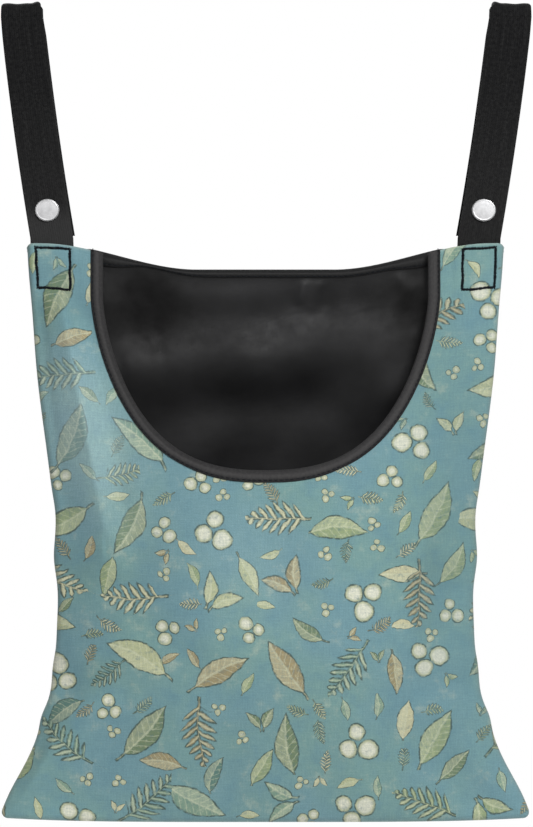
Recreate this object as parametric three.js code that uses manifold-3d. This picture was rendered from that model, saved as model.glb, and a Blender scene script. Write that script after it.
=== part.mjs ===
// Peg bag: a lined cloth pocket with a scooped mouth, hung on two webbing loops that close with snaps.
// Millimetres, +Z up, front towards -Y. The origin lies on the axis of the line that the loops hang on,
// midway between the two loops.
import * as THREE from "three";
import { mergeVertices } from "three/addons/utils/BufferGeometryUtils.js";
import Module from "manifold-3d";

const wasm = await Module();
wasm.setup();

// Gap kept between pieces that touch on the real bag.
const FIT_GAP = 0.3;

// Webbing straps.
const WEBBING_WIDTH = 25;
const WEBBING_THICKNESS = 1.4;
const LOOP_BORE = 12;
const LOOP_SPACING = 284;
const SEAM_SPACING = 248;
const STRAP_DROP = 128;
const STRAP_BOW = 1;
const LOOP_UPRIGHT = 30;
const TAIL_END_RISE = 1.6;
const TAIL_SIDE_STEP = 1;
const TAB_LENGTH = 27;
const TAB_LEAN = 0.035;
const LEG_STRAIGHT_ABOVE_SNAP = 9;

// Fold line where a strap leaves the bag. The webbing thins to a crease there.
const FOLD_RISE = 3;
const CREASE_LENGTH = 1.9;
const CREASE_THICKNESS = 0.12;

// Snap fasteners.
const SNAP_RISE = 16.3;
const CAP_DIAMETER = 14.5;
const CAP_CROWN = 2.4;
const CAP_RIM = 0.7;
const POST_DIAMETER = 4;
const SOCKET_DIAMETER = 12.5;
const SOCKET_THICKNESS = 2.6;
const SOCKET_BASE = 0.8;
const STUD_DIAMETER = 5.8;
const STUD_FLANGE_DIAMETER = 12;
const STUD_FLANGE_THICKNESS = 0.8;
const STUD_WALL = 0.6;
const EYELET_DIAMETER = 10;
const EYELET_THICKNESS = 0.8;
const SPRING_WIRE = 0.6;
const SPRING_GAP_ANGLE = 70;
const LATHE_SEGMENTS = 20;

// Bag outline, seen from the front. Depths run down from the top edge.
const BAG_HEIGHT = 336;
const TOP_WIDTH = 277;
const WAIST_WIDTH = 241;
const WAIST_DEPTH = 205;
const FLARE_SHARE = 0.3;
const FLARE_POWER = 1.5;
const BOTTOM_WIDTH = 307;
const BOTTOM_BOW = 2.5;

// Sag of the top edge between the straps.
const TOP_SAG = 15.7;
const SAG_FLAT_HALF = 40;
const SAG_SLOPE_WIDTH = 90;
const SAG_REACH = 130;

// Fullness of the pocket to the front and to the back.
const FRONT_BULGE = 34;
const BACK_BULGE = 28;
const BULGE_DEPTH = 225;
const LENS_POWER = 2.2;

// Cloth plies.
const PANEL_THICKNESS = 0.6;
const LINING_THICKNESS = 0.5;
const EDGE_RAMP = 1.8;
const LINING_INSET = 3;

// Scooped mouth and its bindings.
const SCOOP_WIDTH = 188;
const SCOOP_STRAIGHT = 25;
const SCOOP_ROUND = 108;
const BINDING_WIDTH = 7;
const BINDING_THICKNESS = 0.5;

// Stitching.
const THREAD_DIAMETER = 0.6;
const STITCH_FROM_EDGE = 1.4;
const SEAM_STITCH_INSET = 0.7;
const BOX_WIDTH = 19.5;
const BOX_HEIGHT = 24;
const BOX_DROP = 2.6;
const BOX_THREAD_WIDTH = 1.8;

// Places worked out from the sizes above.
const SNAP_STACK = SOCKET_THICKNESS + STUD_FLANGE_THICKNESS + 3 * FIT_GAP;
const TAIL_Y = (SNAP_STACK + WEBBING_THICKNESS) / 2;
const LEG_Y = -TAIL_Y;
const LOOP_RADIUS = (LOOP_BORE + WEBBING_THICKNESS) / 2;
const FOLD_Z = -STRAP_DROP;
const BAG_TOP_Z = FOLD_Z - FOLD_RISE;
const PLY_ROOM = WEBBING_THICKNESS + 2 * FIT_GAP;
const SHELL_ROOM = PLY_ROOM + LINING_THICKNESS + (FIT_GAP + BINDING_THICKNESS) / 2;
const TAB_HEIGHT = FIT_GAP / 2 + SHELL_ROOM - FIT_GAP - WEBBING_THICKNESS / 2;
const BAG_Y = LEG_Y + TAB_HEIGHT;
const HOLE_DIAMETER = POST_DIAMETER + 2 * FIT_GAP;

const printedCloth = new THREE.MeshStandardMaterial({ color: 0x7498a0, roughness: 0.85, metalness: 0 });
const liningCloth = new THREE.MeshStandardMaterial({ color: 0x2c2c2c, roughness: 0.6, metalness: 0 });
const bindingTape = new THREE.MeshStandardMaterial({ color: 0x353535, roughness: 0.75, metalness: 0 });
const webbing = new THREE.MeshStandardMaterial({ color: 0x232323, roughness: 0.9, metalness: 0 });
const thread = new THREE.MeshStandardMaterial({ color: 0x0c1014, roughness: 0.8, metalness: 0 });
const capMetal = new THREE.MeshStandardMaterial({ color: 0xd6d6d6, roughness: 0.35, metalness: 1 });
const snapMetal = new THREE.MeshStandardMaterial({ color: 0xb8b8b4, roughness: 0.4, metalness: 1 });

function smoothstep(low, high, value) {
  const t = Math.min(1, Math.max(0, (value - low) / (high - low)));
  return t * t * (3 - 2 * t);
}

function range(count) {
  return Array.from({ length: count + 1 }, (_, i) => i / count);
}

// A closed mesh from points and triangles, with its faces turned outwards.
function closedGeometry(points, triangles) {
  let volume = 0;
  for (const [a, b, c] of triangles) {
    volume += points[a].dot(new THREE.Vector3().crossVectors(points[b], points[c]));
  }
  const index = triangles.flatMap(([a, b, c]) => (volume > 0 ? [a, b, c] : [a, c, b]));
  const geometry = new THREE.BufferGeometry().setFromPoints(points);
  geometry.setIndex(index);
  return geometry;
}

// Solid of a geometry, for cutting.
function solidOf(geometry) {
  const bare = geometry.clone();
  bare.deleteAttribute("normal");
  bare.deleteAttribute("uv");
  const merged = mergeVertices(bare, 1e-4);
  const mesh = new wasm.Mesh({
    numProp: 3,
    vertProperties: merged.attributes.position.array,
    triVerts: new Uint32Array(merged.index.array),
  });
  return new wasm.Manifold(mesh);
}

// Geometry of a piece after a tool is cut out of it.
function cutAway(geometry, tool) {
  const mesh = solidOf(geometry).subtract(solidOf(tool)).getMesh();
  const result = new THREE.BufferGeometry();
  result.setAttribute("position", new THREE.BufferAttribute(mesh.vertProperties, mesh.numProp));
  result.setIndex(new THREE.BufferAttribute(mesh.triVerts, 1));
  return result;
}

// Half of the bag's width at a depth below the top edge.
function halfWidth(depth) {
  const fall = (1 + Math.cos(Math.PI * Math.min(1, Math.max(0, depth / WAIST_DEPTH)))) / 2;
  const flare = Math.max(0, 1 - (1 - depth / BAG_HEIGHT) / FLARE_SHARE) ** FLARE_POWER;
  return (WAIST_WIDTH + (TOP_WIDTH - WAIST_WIDTH) * fall + (BOTTOM_WIDTH - WAIST_WIDTH) * flare) / 2;
}

function topDrop(x) {
  return TOP_SAG * (1 - smoothstep(SAG_FLAT_HALF, SAG_FLAT_HALF + SAG_SLOPE_WIDTH, Math.abs(x)));
}

function clothZ(x, depth) {
  const sag = topDrop(x) * Math.max(0, 1 - depth / SAG_REACH);
  const bow = BOTTOM_BOW * ((2 * Math.abs(x)) / BOTTOM_WIDTH) ** 4 * Math.max(0, depth / BAG_HEIGHT) ** 6;
  return BAG_TOP_Z - depth - sag + bow;
}

// Depth of a height near the top edge: the inverse of clothZ there.
function depthAtHeight(x, z) {
  const drop = topDrop(x);
  const depth = BAG_TOP_Z - z - drop;
  return depth > 0 ? depth / (1 - drop / SAG_REACH) : depth;
}

// How far the pocket swells at a depth, from 0 at the top and bottom seams to 1 where it is fullest.
function fullness(depth) {
  if (depth < BULGE_DEPTH) {
    return Math.sin((Math.PI / 2) * Math.max(0, depth / BULGE_DEPTH));
  }
  return Math.cos((Math.PI / 2) * Math.min(1, (depth - BULGE_DEPTH) / (BAG_HEIGHT - BULGE_DEPTH)));
}

// One side of the bag: sign -1 is the front, +1 the back. Heights are measured from the bag's middle plane.
function clothSide(sign, bulge) {
  const inside = (x, depth) => {
    const half = halfWidth(depth);
    const edge = Math.max(0, Math.min(half - Math.abs(x), BAG_HEIGHT - depth));
    const lens = Math.max(0, 1 - (Math.abs(x) / half) ** LENS_POWER);
    return FIT_GAP / 2 + SHELL_ROOM * Math.min(1, edge / EDGE_RAMP) + bulge * fullness(depth) * lens;
  };
  return {
    panelIn: inside,
    panelOut: (x, depth) => inside(x, depth) + PANEL_THICKNESS,
    liningOut: (x, depth) => inside(x, depth) - PLY_ROOM,
    liningIn: (x, depth) => inside(x, depth) - PLY_ROOM - LINING_THICKNESS,
    point: (x, depth, height) => new THREE.Vector3(x, BAG_Y + sign * height, clothZ(x, depth)),
  };
}

const front = clothSide(-1, FRONT_BULGE);
const back = clothSide(1, BACK_BULGE);

// A sheet of cloth over a grid of [x, depth] places, between two heights.
function sheetGeometry(side, grid, nearHeight, farHeight) {
  const rows = grid.length;
  const columns = grid[0].length;
  const points = [];
  for (const heightOf of [nearHeight, farHeight]) {
    grid.forEach((row, i) => row.forEach(([x, d], j) => points.push(side.point(x, d, heightOf(x, d, i, j)))));
  }
  const near = (i, j) => i * columns + j;
  const far = (i, j) => rows * columns + near(i, j);
  const rise = (k) => Math.abs(points[k].y - BAG_Y);
  const triangles = [];
  const quad = (a, b, c, d) => triangles.push([a, b, c], [a, c, d]);
  for (let i = 0; i + 1 < rows; i++) {
    for (let j = 0; j + 1 < columns; j++) {
      const corners = [[i, j], [i, j + 1], [i + 1, j + 1], [i + 1, j]];
      const [a, b, c, d] = corners.map(([m, n]) => rise(near(m, n)));
      // Each cell is split along its higher diagonal, so that both faces of the cloth crease alike.
      const [p, q, r, s] = a + c >= b + d ? corners : [...corners.slice(1), corners[0]];
      quad(near(...p), near(...q), near(...r), near(...s));
      quad(far(...p), far(...s), far(...r), far(...q));
    }
    quad(near(i, 0), near(i + 1, 0), far(i + 1, 0), far(i, 0));
    quad(near(i + 1, columns - 1), near(i, columns - 1), far(i, columns - 1), far(i + 1, columns - 1));
  }
  for (let j = 0; j + 1 < columns; j++) {
    quad(near(0, j + 1), near(0, j), far(0, j), far(0, j + 1));
    quad(near(rows - 1, j), near(rows - 1, j + 1), far(rows - 1, j + 1), far(rows - 1, j));
  }
  return closedGeometry(points, triangles);
}

// Mirrors the left half of a list of [x, depth] places that ends on the middle line.
function withMirror(leftHalf) {
  const right = leftHalf.slice(0, -1).reverse();
  return [...leftHalf, ...right.map(([x, d]) => [-x, d])];
}

const SCOOP_STRAIGHT_STEPS = 3;
const SCOOP_ROUND_STEPS = 16;
const SIDE_STEPS = 14;
const BOTTOM_STEPS = SCOOP_STRAIGHT_STEPS + SCOOP_ROUND_STEPS - SIDE_STEPS;
const RADIAL_STEPS = 5;

// Edge of the mouth from the top left, round the bottom, to the top right.
function scoopPath() {
  const half = SCOOP_WIDTH / 2;
  const straight = range(SCOOP_STRAIGHT_STEPS).map((t) => [-half, SCOOP_STRAIGHT * t]);
  const round = range(SCOOP_ROUND_STEPS).slice(1).map((t) => {
    const angle = (t * Math.PI) / 2;
    return [-half * Math.cos(angle), SCOOP_STRAIGHT + SCOOP_ROUND * Math.sin(angle)];
  });
  return withMirror([...straight, ...round]);
}

// Outline of the sides and bottom, drawn in by an inset, from the top left to the top right.
function outlinePath(inset) {
  const lowest = BAG_HEIGHT - inset;
  const side = range(SIDE_STEPS).map((t) => [-(halfWidth(lowest * t) - inset), lowest * t]);
  const corner = halfWidth(lowest) - inset;
  const bottom = range(BOTTOM_STEPS).slice(1).map((t) => [-corner * (1 - t), lowest]);
  return withMirror([...side, ...bottom]);
}

// Unit direction square to a path in the [x, depth] plane at each of its places, to its left.
function pathNormals(path, closed) {
  const count = path.length;
  return path.map((_, i) => {
    const before = path[closed ? (i + count - 1) % count : Math.max(0, i - 1)];
    const after = path[closed ? (i + 1) % count : Math.min(count - 1, i + 1)];
    const dx = after[0] - before[0];
    const dd = after[1] - before[1];
    const length = Math.hypot(dx, dd);
    return [-dd / length, dx / length];
  });
}

function offsetPath(path, offset) {
  const normals = pathNormals(path, false);
  return path.map(([x, d], i) => [x + normals[i][0] * offset, d + normals[i][1] * offset]);
}

// Grid between the mouth and the outline, with a column just past the binding and, for a ramp above 0,
// one just inside the outline.
function frontGrid(inset, ramp) {
  const scoop = scoopPath();
  const bound = offsetPath(scoop, BINDING_WIDTH * 1.2);
  const inner = outlinePath(inset + ramp);
  const outline = outlinePath(inset);
  return scoop.map((edge, i) => {
    const [ax, ad] = bound[i];
    const [bx, bd] = inner[i];
    const between = range(RADIAL_STEPS).map((t) => [ax + (bx - ax) * t, ad + (bd - ad) * t]);
    return ramp > 0 ? [edge, ...between, outline[i]] : [edge, ...between];
  });
}

const BACK_COLUMNS = 20;

function backGrid(inset, ramp) {
  const lowest = BAG_HEIGHT - inset;
  const depths = range(SIDE_STEPS).map((t) => lowest * t);
  const rampRows = ramp > 0 ? [lowest - ramp] : [];
  return [...depths.slice(0, -1), ...rampRows, lowest].map((d) => {
    const half = halfWidth(d) - inset;
    const inner = range(BACK_COLUMNS).map((t) => (half - ramp) * (2 * t - 1));
    return (ramp > 0 ? [-half, ...inner, half] : inner).map((x) => [x, d]);
  });
}

function panelGeometry(side, grid) {
  return sheetGeometry(side, grid, side.panelIn, side.panelOut);
}

function liningGeometry(side, grid) {
  return sheetGeometry(side, grid, side.liningIn, side.liningOut);
}

// A section swept along a path on the cloth. Section places are [offset along the path normal,
// height function].
function sweptGeometry(side, path, section, closed) {
  const normals = pathNormals(path, closed);
  const sides = section.length;
  const points = path.flatMap(([x, d], i) =>
    section.map(([offset, heightOf]) => {
      const px = x + normals[i][0] * offset;
      const pd = d + normals[i][1] * offset;
      return side.point(px, pd, heightOf(px, Math.max(0, pd)));
    }),
  );
  const triangles = [];
  const steps = closed ? path.length : path.length - 1;
  for (let i = 0; i < steps; i++) {
    const here = i * sides;
    const next = ((i + 1) % path.length) * sides;
    for (let j = 0; j < sides; j++) {
      const k = (j + 1) % sides;
      triangles.push([here + j, next + j, next + k], [here + j, next + k, here + k]);
    }
  }
  if (!closed) {
    const outline = section.map(([offset, heightOf]) => new THREE.Vector2(offset, heightOf(0, BULGE_DEPTH)));
    const last = (path.length - 1) * sides;
    const turn = Math.sign(THREE.ShapeUtils.area(outline));
    for (const face of THREE.ShapeUtils.triangulateShape(outline, [])) {
      const same = turn * THREE.ShapeUtils.area(face.map((corner) => outline[corner])) > 0;
      const [a, b, c] = same ? face : [...face].reverse();
      triangles.push([a, b, c], [last + a, last + c, last + b]);
    }
  }
  return closedGeometry(points, triangles);
}

// Section of a tape folded round a cloth edge, with the given width on both faces.
function bindingSection(side, width) {
  const lip = FIT_GAP + BINDING_THICKNESS;
  const above = (offset) => (x, d) => side.panelOut(x, d) + offset;
  const below = (offset) => (x, d) => side.liningIn(x, d) - offset;
  const shoulder = BINDING_THICKNESS;
  return [
    [width, above(lip)],
    [-lip + shoulder, above(lip)],
    [-lip, above(lip - shoulder)],
    [-lip, below(lip - shoulder)],
    [-lip + shoulder, below(lip)],
    [width, below(lip)],
    [width, below(FIT_GAP)],
    [-FIT_GAP, below(FIT_GAP)],
    [-FIT_GAP, above(FIT_GAP)],
    [width, above(FIT_GAP)],
  ];
}

// Flat oval section of thread that lies on a surface.
function threadSection(offset, width, surface) {
  const middle = FIT_GAP + THREAD_DIAMETER / 2;
  return range(6).slice(1).map((t) => {
    const angle = t * 2 * Math.PI;
    const rise = middle + (THREAD_DIAMETER / 2) * Math.sin(angle);
    return [offset + (width / 2) * Math.cos(angle), (x, d) => surface(x, d) + rise];
  });
}

function scoopBindingGeometry() {
  return sweptGeometry(front, scoopPath(), bindingSection(front, BINDING_WIDTH), false);
}

function bindingStitchGeometry() {
  const surface = (x, d) => front.panelOut(x, d) + FIT_GAP + BINDING_THICKNESS;
  const section = threadSection(BINDING_WIDTH - STITCH_FROM_EDGE, THREAD_DIAMETER, surface);
  return sweptGeometry(front, scoopPath(), section, false);
}

// Top edge of the back between the two sides of the mouth.
function backTopPath() {
  const half = SCOOP_WIDTH / 2 - BINDING_WIDTH;
  return backGrid(0, EDGE_RAMP)[0].filter(([x]) => Math.abs(x) < half);
}

function backTopBindingGeometry() {
  return sweptGeometry(back, backTopPath(), bindingSection(back, BINDING_WIDTH), false);
}

function backTopStitchGeometry() {
  const surface = (x, d) => back.liningIn(x, d) - 3 * FIT_GAP - BINDING_THICKNESS - THREAD_DIAMETER;
  const section = threadSection(BINDING_WIDTH - STITCH_FROM_EDGE, THREAD_DIAMETER, surface);
  return sweptGeometry(back, backTopPath(), section, false);
}

// Seam thread between the edges of the front and back panels.
function outerSeamGeometry() {
  const path = outlinePath(SEAM_STITCH_INSET);
  const section = range(6).slice(1).map((t) => {
    const angle = t * 2 * Math.PI;
    const height = (THREAD_DIAMETER / 2) * Math.sin(angle);
    return [(THREAD_DIAMETER / 2) * Math.cos(angle), () => height];
  });
  return sweptGeometry(front, path, section, false);
}

// Centre line of the left strap, and the direction across it, at a rise above the fold line.
// The sewn end below the fold hangs almost straight down, and the loop sits upright on its line.
function strapPlace(rise) {
  const share = Math.min(1, Math.max(0, rise) / STRAP_DROP);
  const spread = (LOOP_SPACING - SEAM_SPACING) / 2;
  const splay = spread * share + STRAP_BOW * 4 * share * (1 - share) + TAB_LEAN * Math.min(0, rise);
  const upright = smoothstep(STRAP_DROP - LOOP_UPRIGHT, STRAP_DROP, rise);
  const lean = Math.atan((spread - 4 * STRAP_BOW) / STRAP_DROP) * share * (1 - upright);
  return { x: -SEAM_SPACING / 2 - splay, z: FOLD_Z + rise, across: [Math.cos(lean), Math.sin(lean)] };
}

// A length of the left strap, from stations of [y, rise, half-thickness, sideways step].
function webbingGeometry(stations) {
  const points = stations.flatMap(([y, rise, half, step], i) => {
    const before = stations[Math.max(0, i - 1)];
    const after = stations[Math.min(stations.length - 1, i + 1)];
    const length = Math.hypot(after[0] - before[0], after[1] - before[1]);
    const normal = [(after[1] - before[1]) / length, -(after[0] - before[0]) / length];
    return [-1, 1].flatMap((face) =>
      [-1, 1].map((edge) => {
        const place = strapPlace(rise + face * half * normal[1]);
        const reach = (edge * WEBBING_WIDTH) / 2 + step;
        const x = place.x + place.across[0] * reach;
        return new THREE.Vector3(x, y + face * half * normal[0], place.z + place.across[1] * reach);
      }),
    );
  });
  const triangles = [];
  const quad = (a, b, c, d) => triangles.push([a, b, c], [a, c, d]);
  const last = 4 * (stations.length - 1);
  for (let i = 0; i < last; i += 4) {
    quad(i, i + 1, i + 5, i + 4);
    quad(i + 1, i + 3, i + 7, i + 5);
    quad(i + 3, i + 2, i + 6, i + 7);
    quad(i + 2, i, i + 4, i + 6);
  }
  quad(0, 2, 3, 1);
  quad(last, last + 1, last + 3, last + 2);
  return closedGeometry(points, triangles);
}

const RUN_STEPS = 14;
const ARC_STEPS = 7;
const HALF_WEBBING = WEBBING_THICKNESS / 2;

// Sideways place of a strap's run between the snap and the loop at its top.
function runY(straightY, loopY, rise) {
  return straightY + (loopY - straightY) * smoothstep(SNAP_RISE + LEG_STRAIGHT_ABOVE_SNAP, STRAP_DROP, rise);
}

// Quarter of the loop's top: from the front up to the apex for turn -1, from the apex to the back for +1.
function loopQuarter(turn) {
  return range(ARC_STEPS).map((t) => {
    const angle = ((turn < 0 ? 1 - t : t) * Math.PI) / 2;
    return [turn * LOOP_RADIUS * Math.sin(angle), STRAP_DROP + LOOP_RADIUS * Math.cos(angle)];
  });
}

function snapHole() {
  const { x, z } = strapPlace(SNAP_RISE);
  const length = 2 * (SNAP_STACK + 4 * WEBBING_THICKNESS);
  return new THREE.CylinderGeometry(HOLE_DIAMETER / 2, HOLE_DIAMETER / 2, length, 16).translate(x, 0, z);
}

function strapLegGeometry() {
  const crease = [FIT_GAP / 2, CREASE_LENGTH];
  const start = crease.map((rise, i) => [LEG_Y, rise, [CREASE_THICKNESS / 2, HALF_WEBBING][i], 0]);
  const rises = range(RUN_STEPS).map((t) => CREASE_LENGTH + (STRAP_DROP - CREASE_LENGTH) * t);
  const run = rises.slice(1, -1).map((rise) => [runY(LEG_Y, -LOOP_RADIUS, rise), rise, HALF_WEBBING, 0]);
  const arc = loopQuarter(-1).map(([y, rise]) => [y, rise, HALF_WEBBING, 0]);
  arc.at(-1)[0] = -FIT_GAP / 2;
  return cutAway(webbingGeometry([...start, ...run, ...arc]), snapHole());
}

function strapTailGeometry() {
  const stepAt = (rise) => TAIL_SIDE_STEP * Math.max(0, 1 - rise / STRAP_DROP);
  const arc = loopQuarter(1).map(([y, rise]) => [y, rise, HALF_WEBBING, 0]);
  arc[0][0] = FIT_GAP / 2;
  const rises = range(RUN_STEPS).map((t) => STRAP_DROP + (TAIL_END_RISE - STRAP_DROP) * t);
  const run = rises
    .slice(1)
    .map((rise) => [runY(TAIL_Y, LOOP_RADIUS, rise), rise, HALF_WEBBING, stepAt(rise)]);
  return cutAway(webbingGeometry([...arc, ...run]), snapHole());
}

const TAB_COLUMNS = 4;
const TAB_ROWS = 5;

// The sewn end of the left strap, between the front panel and its lining.
function strapTabGeometry() {
  const rises = [-FIT_GAP / 2, -CREASE_LENGTH, ...range(TAB_ROWS).map((t) => -FOLD_RISE - TAB_LENGTH * t)];
  const halves = rises.map((_, i) => (i === 0 ? CREASE_THICKNESS / 2 : HALF_WEBBING));
  const grid = rises.map((rise) => {
    const place = strapPlace(rise);
    return range(TAB_COLUMNS).map((t) => {
      const x = place.x + WEBBING_WIDTH * (t - 0.5);
      return [x, depthAtHeight(x, place.z)];
    });
  });
  const middle = (x, d) => front.panelIn(x, Math.max(0, d)) - FIT_GAP - HALF_WEBBING;
  const level = (x, d, i) => (rises[i] > -FOLD_RISE ? TAB_HEIGHT : middle(x, d));
  return sheetGeometry(
    front,
    grid,
    (x, d, i) => level(x, d, i) - halves[i],
    (x, d, i) => level(x, d, i) + halves[i],
  );
}

const BOX_SIDE_STEPS = 4;

// Closed rectangle of stitches that holds the sewn end of the left strap.
function boxStitchGeometry() {
  const top = -FOLD_RISE - BOX_DROP;
  const corners = [
    [-0.5, 0],
    [0.5, 0],
    [0.5, 1],
    [-0.5, 1],
  ];
  const path = corners.flatMap(([ax, ad], i) => {
    const [bx, bd] = corners[(i + 1) % corners.length];
    return range(BOX_SIDE_STEPS).slice(0, -1).map((t) => {
      const place = strapPlace(top - BOX_HEIGHT * (ad + (bd - ad) * t));
      const x = place.x + BOX_WIDTH * (ax + (bx - ax) * t);
      return [x, depthAtHeight(x, place.z)];
    });
  });
  return sweptGeometry(front, path, threadSection(0, BOX_THREAD_WIDTH, front.panelOut), true);
}

// A turned piece about the Y axis, centred on the left strap's snap, from [radius, y] places.
function turnedGeometry(profile) {
  const { x, z } = strapPlace(SNAP_RISE);
  const points = profile.map(([radius, y]) => new THREE.Vector2(radius, y));
  const lathe = new THREE.LatheGeometry(points, LATHE_SEGMENTS);
  lathe.deleteAttribute("normal");
  lathe.deleteAttribute("uv");
  return mergeVertices(lathe, 1e-5).translate(x, 0, z);
}

// Faces of the webbing at the snap, from the front to the back.
const LEG_FRONT_Y = LEG_Y - HALF_WEBBING;
const SOCKET_FRONT_Y = LEG_Y + HALF_WEBBING + FIT_GAP;
const SOCKET_BACK_Y = SOCKET_FRONT_Y + SOCKET_THICKNESS;
const FLANGE_FRONT_Y = SOCKET_BACK_Y + FIT_GAP;
const FLANGE_BACK_Y = FLANGE_FRONT_Y + STUD_FLANGE_THICKNESS;
const EYELET_FRONT_Y = TAIL_Y + HALF_WEBBING + FIT_GAP;
const STUD_TIP_Y = SOCKET_FRONT_Y + SOCKET_BASE + FIT_GAP;
const CAVITY_RADIUS = STUD_DIAMETER / 2 + FIT_GAP;
const SPRING_RADIUS = CAVITY_RADIUS + SPRING_WIRE / 2 + FIT_GAP;
const GROOVE_RADIUS = SPRING_RADIUS + SPRING_WIRE / 2 + FIT_GAP;
const GROOVE_HALF = SPRING_WIRE / 2 + FIT_GAP;
const GROOVE_Y = (STUD_TIP_Y + SOCKET_BACK_Y) / 2 - FIT_GAP / 2;

const CROWN_STEPS = 5;

// Domed cap whose post passes through the leg into the socket.
function snapCapGeometry() {
  const radius = CAP_DIAMETER / 2;
  const backY = LEG_FRONT_Y - FIT_GAP;
  const crown = range(CROWN_STEPS).map((t) => {
    const angle = (t * Math.PI) / 2;
    return [radius * Math.sin(angle), backY - CAP_RIM - (CAP_CROWN - CAP_RIM) * Math.cos(angle)];
  });
  const tip = SOCKET_FRONT_Y + SOCKET_BASE / 2;
  const post = POST_DIAMETER / 2;
  return turnedGeometry([...crown, [radius, backY], [post, backY], [post, tip], [0, tip]]);
}

// Socket behind the leg, with the cavity for the stud and a groove for the spring.
function snapSocketGeometry() {
  const radius = SOCKET_DIAMETER / 2;
  const bore = HOLE_DIAMETER / 2;
  const floor = SOCKET_FRONT_Y + SOCKET_BASE;
  return turnedGeometry([
    [bore, SOCKET_FRONT_Y],
    [radius, SOCKET_FRONT_Y],
    [radius, SOCKET_BACK_Y - CAP_RIM],
    [radius - CAP_RIM, SOCKET_BACK_Y],
    [CAVITY_RADIUS, SOCKET_BACK_Y],
    [CAVITY_RADIUS, GROOVE_Y + GROOVE_HALF],
    [GROOVE_RADIUS, GROOVE_Y + GROOVE_HALF],
    [GROOVE_RADIUS, GROOVE_Y - GROOVE_HALF],
    [CAVITY_RADIUS, GROOVE_Y - GROOVE_HALF],
    [CAVITY_RADIUS, floor],
    [bore, floor],
    [bore, SOCKET_FRONT_Y],
  ]);
}

// Split ring of spring wire in the socket's groove.
function snapSpringGeometry() {
  const { x, z } = strapPlace(SNAP_RISE);
  const gap = THREE.MathUtils.degToRad(SPRING_GAP_ANGLE);
  const arc = new THREE.Curve();
  arc.getPoint = (t) => {
    const angle = gap / 2 + (2 * Math.PI - gap) * t;
    const across = SPRING_RADIUS * Math.cos(angle);
    return new THREE.Vector3(x + across, GROOVE_Y, z + SPRING_RADIUS * Math.sin(angle));
  };
  const section = new THREE.Shape(
    range(6).slice(1).map((t) => {
      const angle = t * 2 * Math.PI;
      return new THREE.Vector2(Math.cos(angle), Math.sin(angle)).multiplyScalar(SPRING_WIRE / 2);
    }),
  );
  return new THREE.ExtrudeGeometry(section, { steps: 18, extrudePath: arc, bevelEnabled: false });
}

// Hollow stud in front of the tail, which presses into the socket.
function snapStudGeometry() {
  const radius = STUD_DIAMETER / 2;
  const flange = STUD_FLANGE_DIAMETER / 2;
  const bore = radius - STUD_WALL;
  const neck = radius - FIT_GAP;
  return turnedGeometry([
    [0, STUD_TIP_Y],
    [neck, STUD_TIP_Y],
    [radius, STUD_TIP_Y + FIT_GAP],
    [neck, FLANGE_FRONT_Y],
    [flange, FLANGE_FRONT_Y],
    [flange, FLANGE_BACK_Y],
    [bore, FLANGE_BACK_Y],
    [bore, STUD_TIP_Y + STUD_WALL],
    [0, STUD_TIP_Y + STUD_WALL],
  ]);
}

// Eyelet on the back of the tail, whose shank passes through the tail into the stud.
function snapEyeletGeometry() {
  const radius = EYELET_DIAMETER / 2;
  const shank = STUD_DIAMETER / 2 - STUD_WALL - FIT_GAP;
  const tip = STUD_TIP_Y + STUD_WALL + FIT_GAP;
  const backY = EYELET_FRONT_Y + EYELET_THICKNESS;
  return turnedGeometry([
    [0, tip],
    [shank, tip],
    [shank, EYELET_FRONT_Y],
    [radius, EYELET_FRONT_Y],
    [radius, EYELET_FRONT_Y + EYELET_THICKNESS / 2],
    [radius - EYELET_THICKNESS, backY],
    [0, backY],
  ]);
}

function namedMesh(name, geometry, material) {
  const mesh = new THREE.Mesh(geometry, material);
  mesh.name = name;
  return mesh;
}

// Pouch: two printed panels, two linings, the bindings and the stitching that joins them.
function makePouch() {
  const pouch = new THREE.Group();
  pouch.add(
    namedMesh("front_panel", panelGeometry(front, frontGrid(0, EDGE_RAMP)), printedCloth),
    namedMesh("back_panel", panelGeometry(back, backGrid(0, EDGE_RAMP)), printedCloth),
    namedMesh("front_lining", liningGeometry(front, frontGrid(LINING_INSET, 0)), liningCloth),
    namedMesh("back_lining", liningGeometry(back, backGrid(LINING_INSET, 0)), liningCloth),
    namedMesh("scoop_binding", scoopBindingGeometry(), bindingTape),
    namedMesh("scoop_binding_stitching", bindingStitchGeometry(), thread),
    namedMesh("back_top_binding", backTopBindingGeometry(), bindingTape),
    namedMesh("back_top_stitching", backTopStitchGeometry(), thread),
    namedMesh("outer_seam_stitching", outerSeamGeometry(), thread),
  );
  return pouch;
}

// One strap with its snap and the stitching at its sewn end, as it stands on the left.
function makeStrap(side) {
  const strap = new THREE.Group();
  strap.add(
    namedMesh(`${side}_strap_tab`, strapTabGeometry(), webbing),
    namedMesh(`${side}_strap_leg`, strapLegGeometry(), webbing),
    namedMesh(`${side}_strap_tail`, strapTailGeometry(), webbing),
    namedMesh(`${side}_snap_cap`, snapCapGeometry(), capMetal),
    namedMesh(`${side}_snap_socket`, snapSocketGeometry(), snapMetal),
    namedMesh(`${side}_snap_spring`, snapSpringGeometry(), snapMetal),
    namedMesh(`${side}_snap_stud`, snapStudGeometry(), snapMetal),
    namedMesh(`${side}_snap_eyelet`, snapEyeletGeometry(), snapMetal),
    namedMesh(`${side}_box_stitching`, boxStitchGeometry(), thread),
  );
  return strap;
}

const pegBag = new THREE.Group();
pegBag.name = "peg_bag";
const rightStrap = makeStrap("right");
rightStrap.scale.x = -1;
pegBag.add(makePouch(), makeStrap("left"), rightStrap);

export default pegBag;
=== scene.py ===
"""Peg bag: a printed cloth pouch with a bound, scooped mouth, on two webbing loops that close with snaps.

Shapes are worked out in millimetres in the row frame, +Z up and the front towards -Y, and made in metres.
"""

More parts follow.
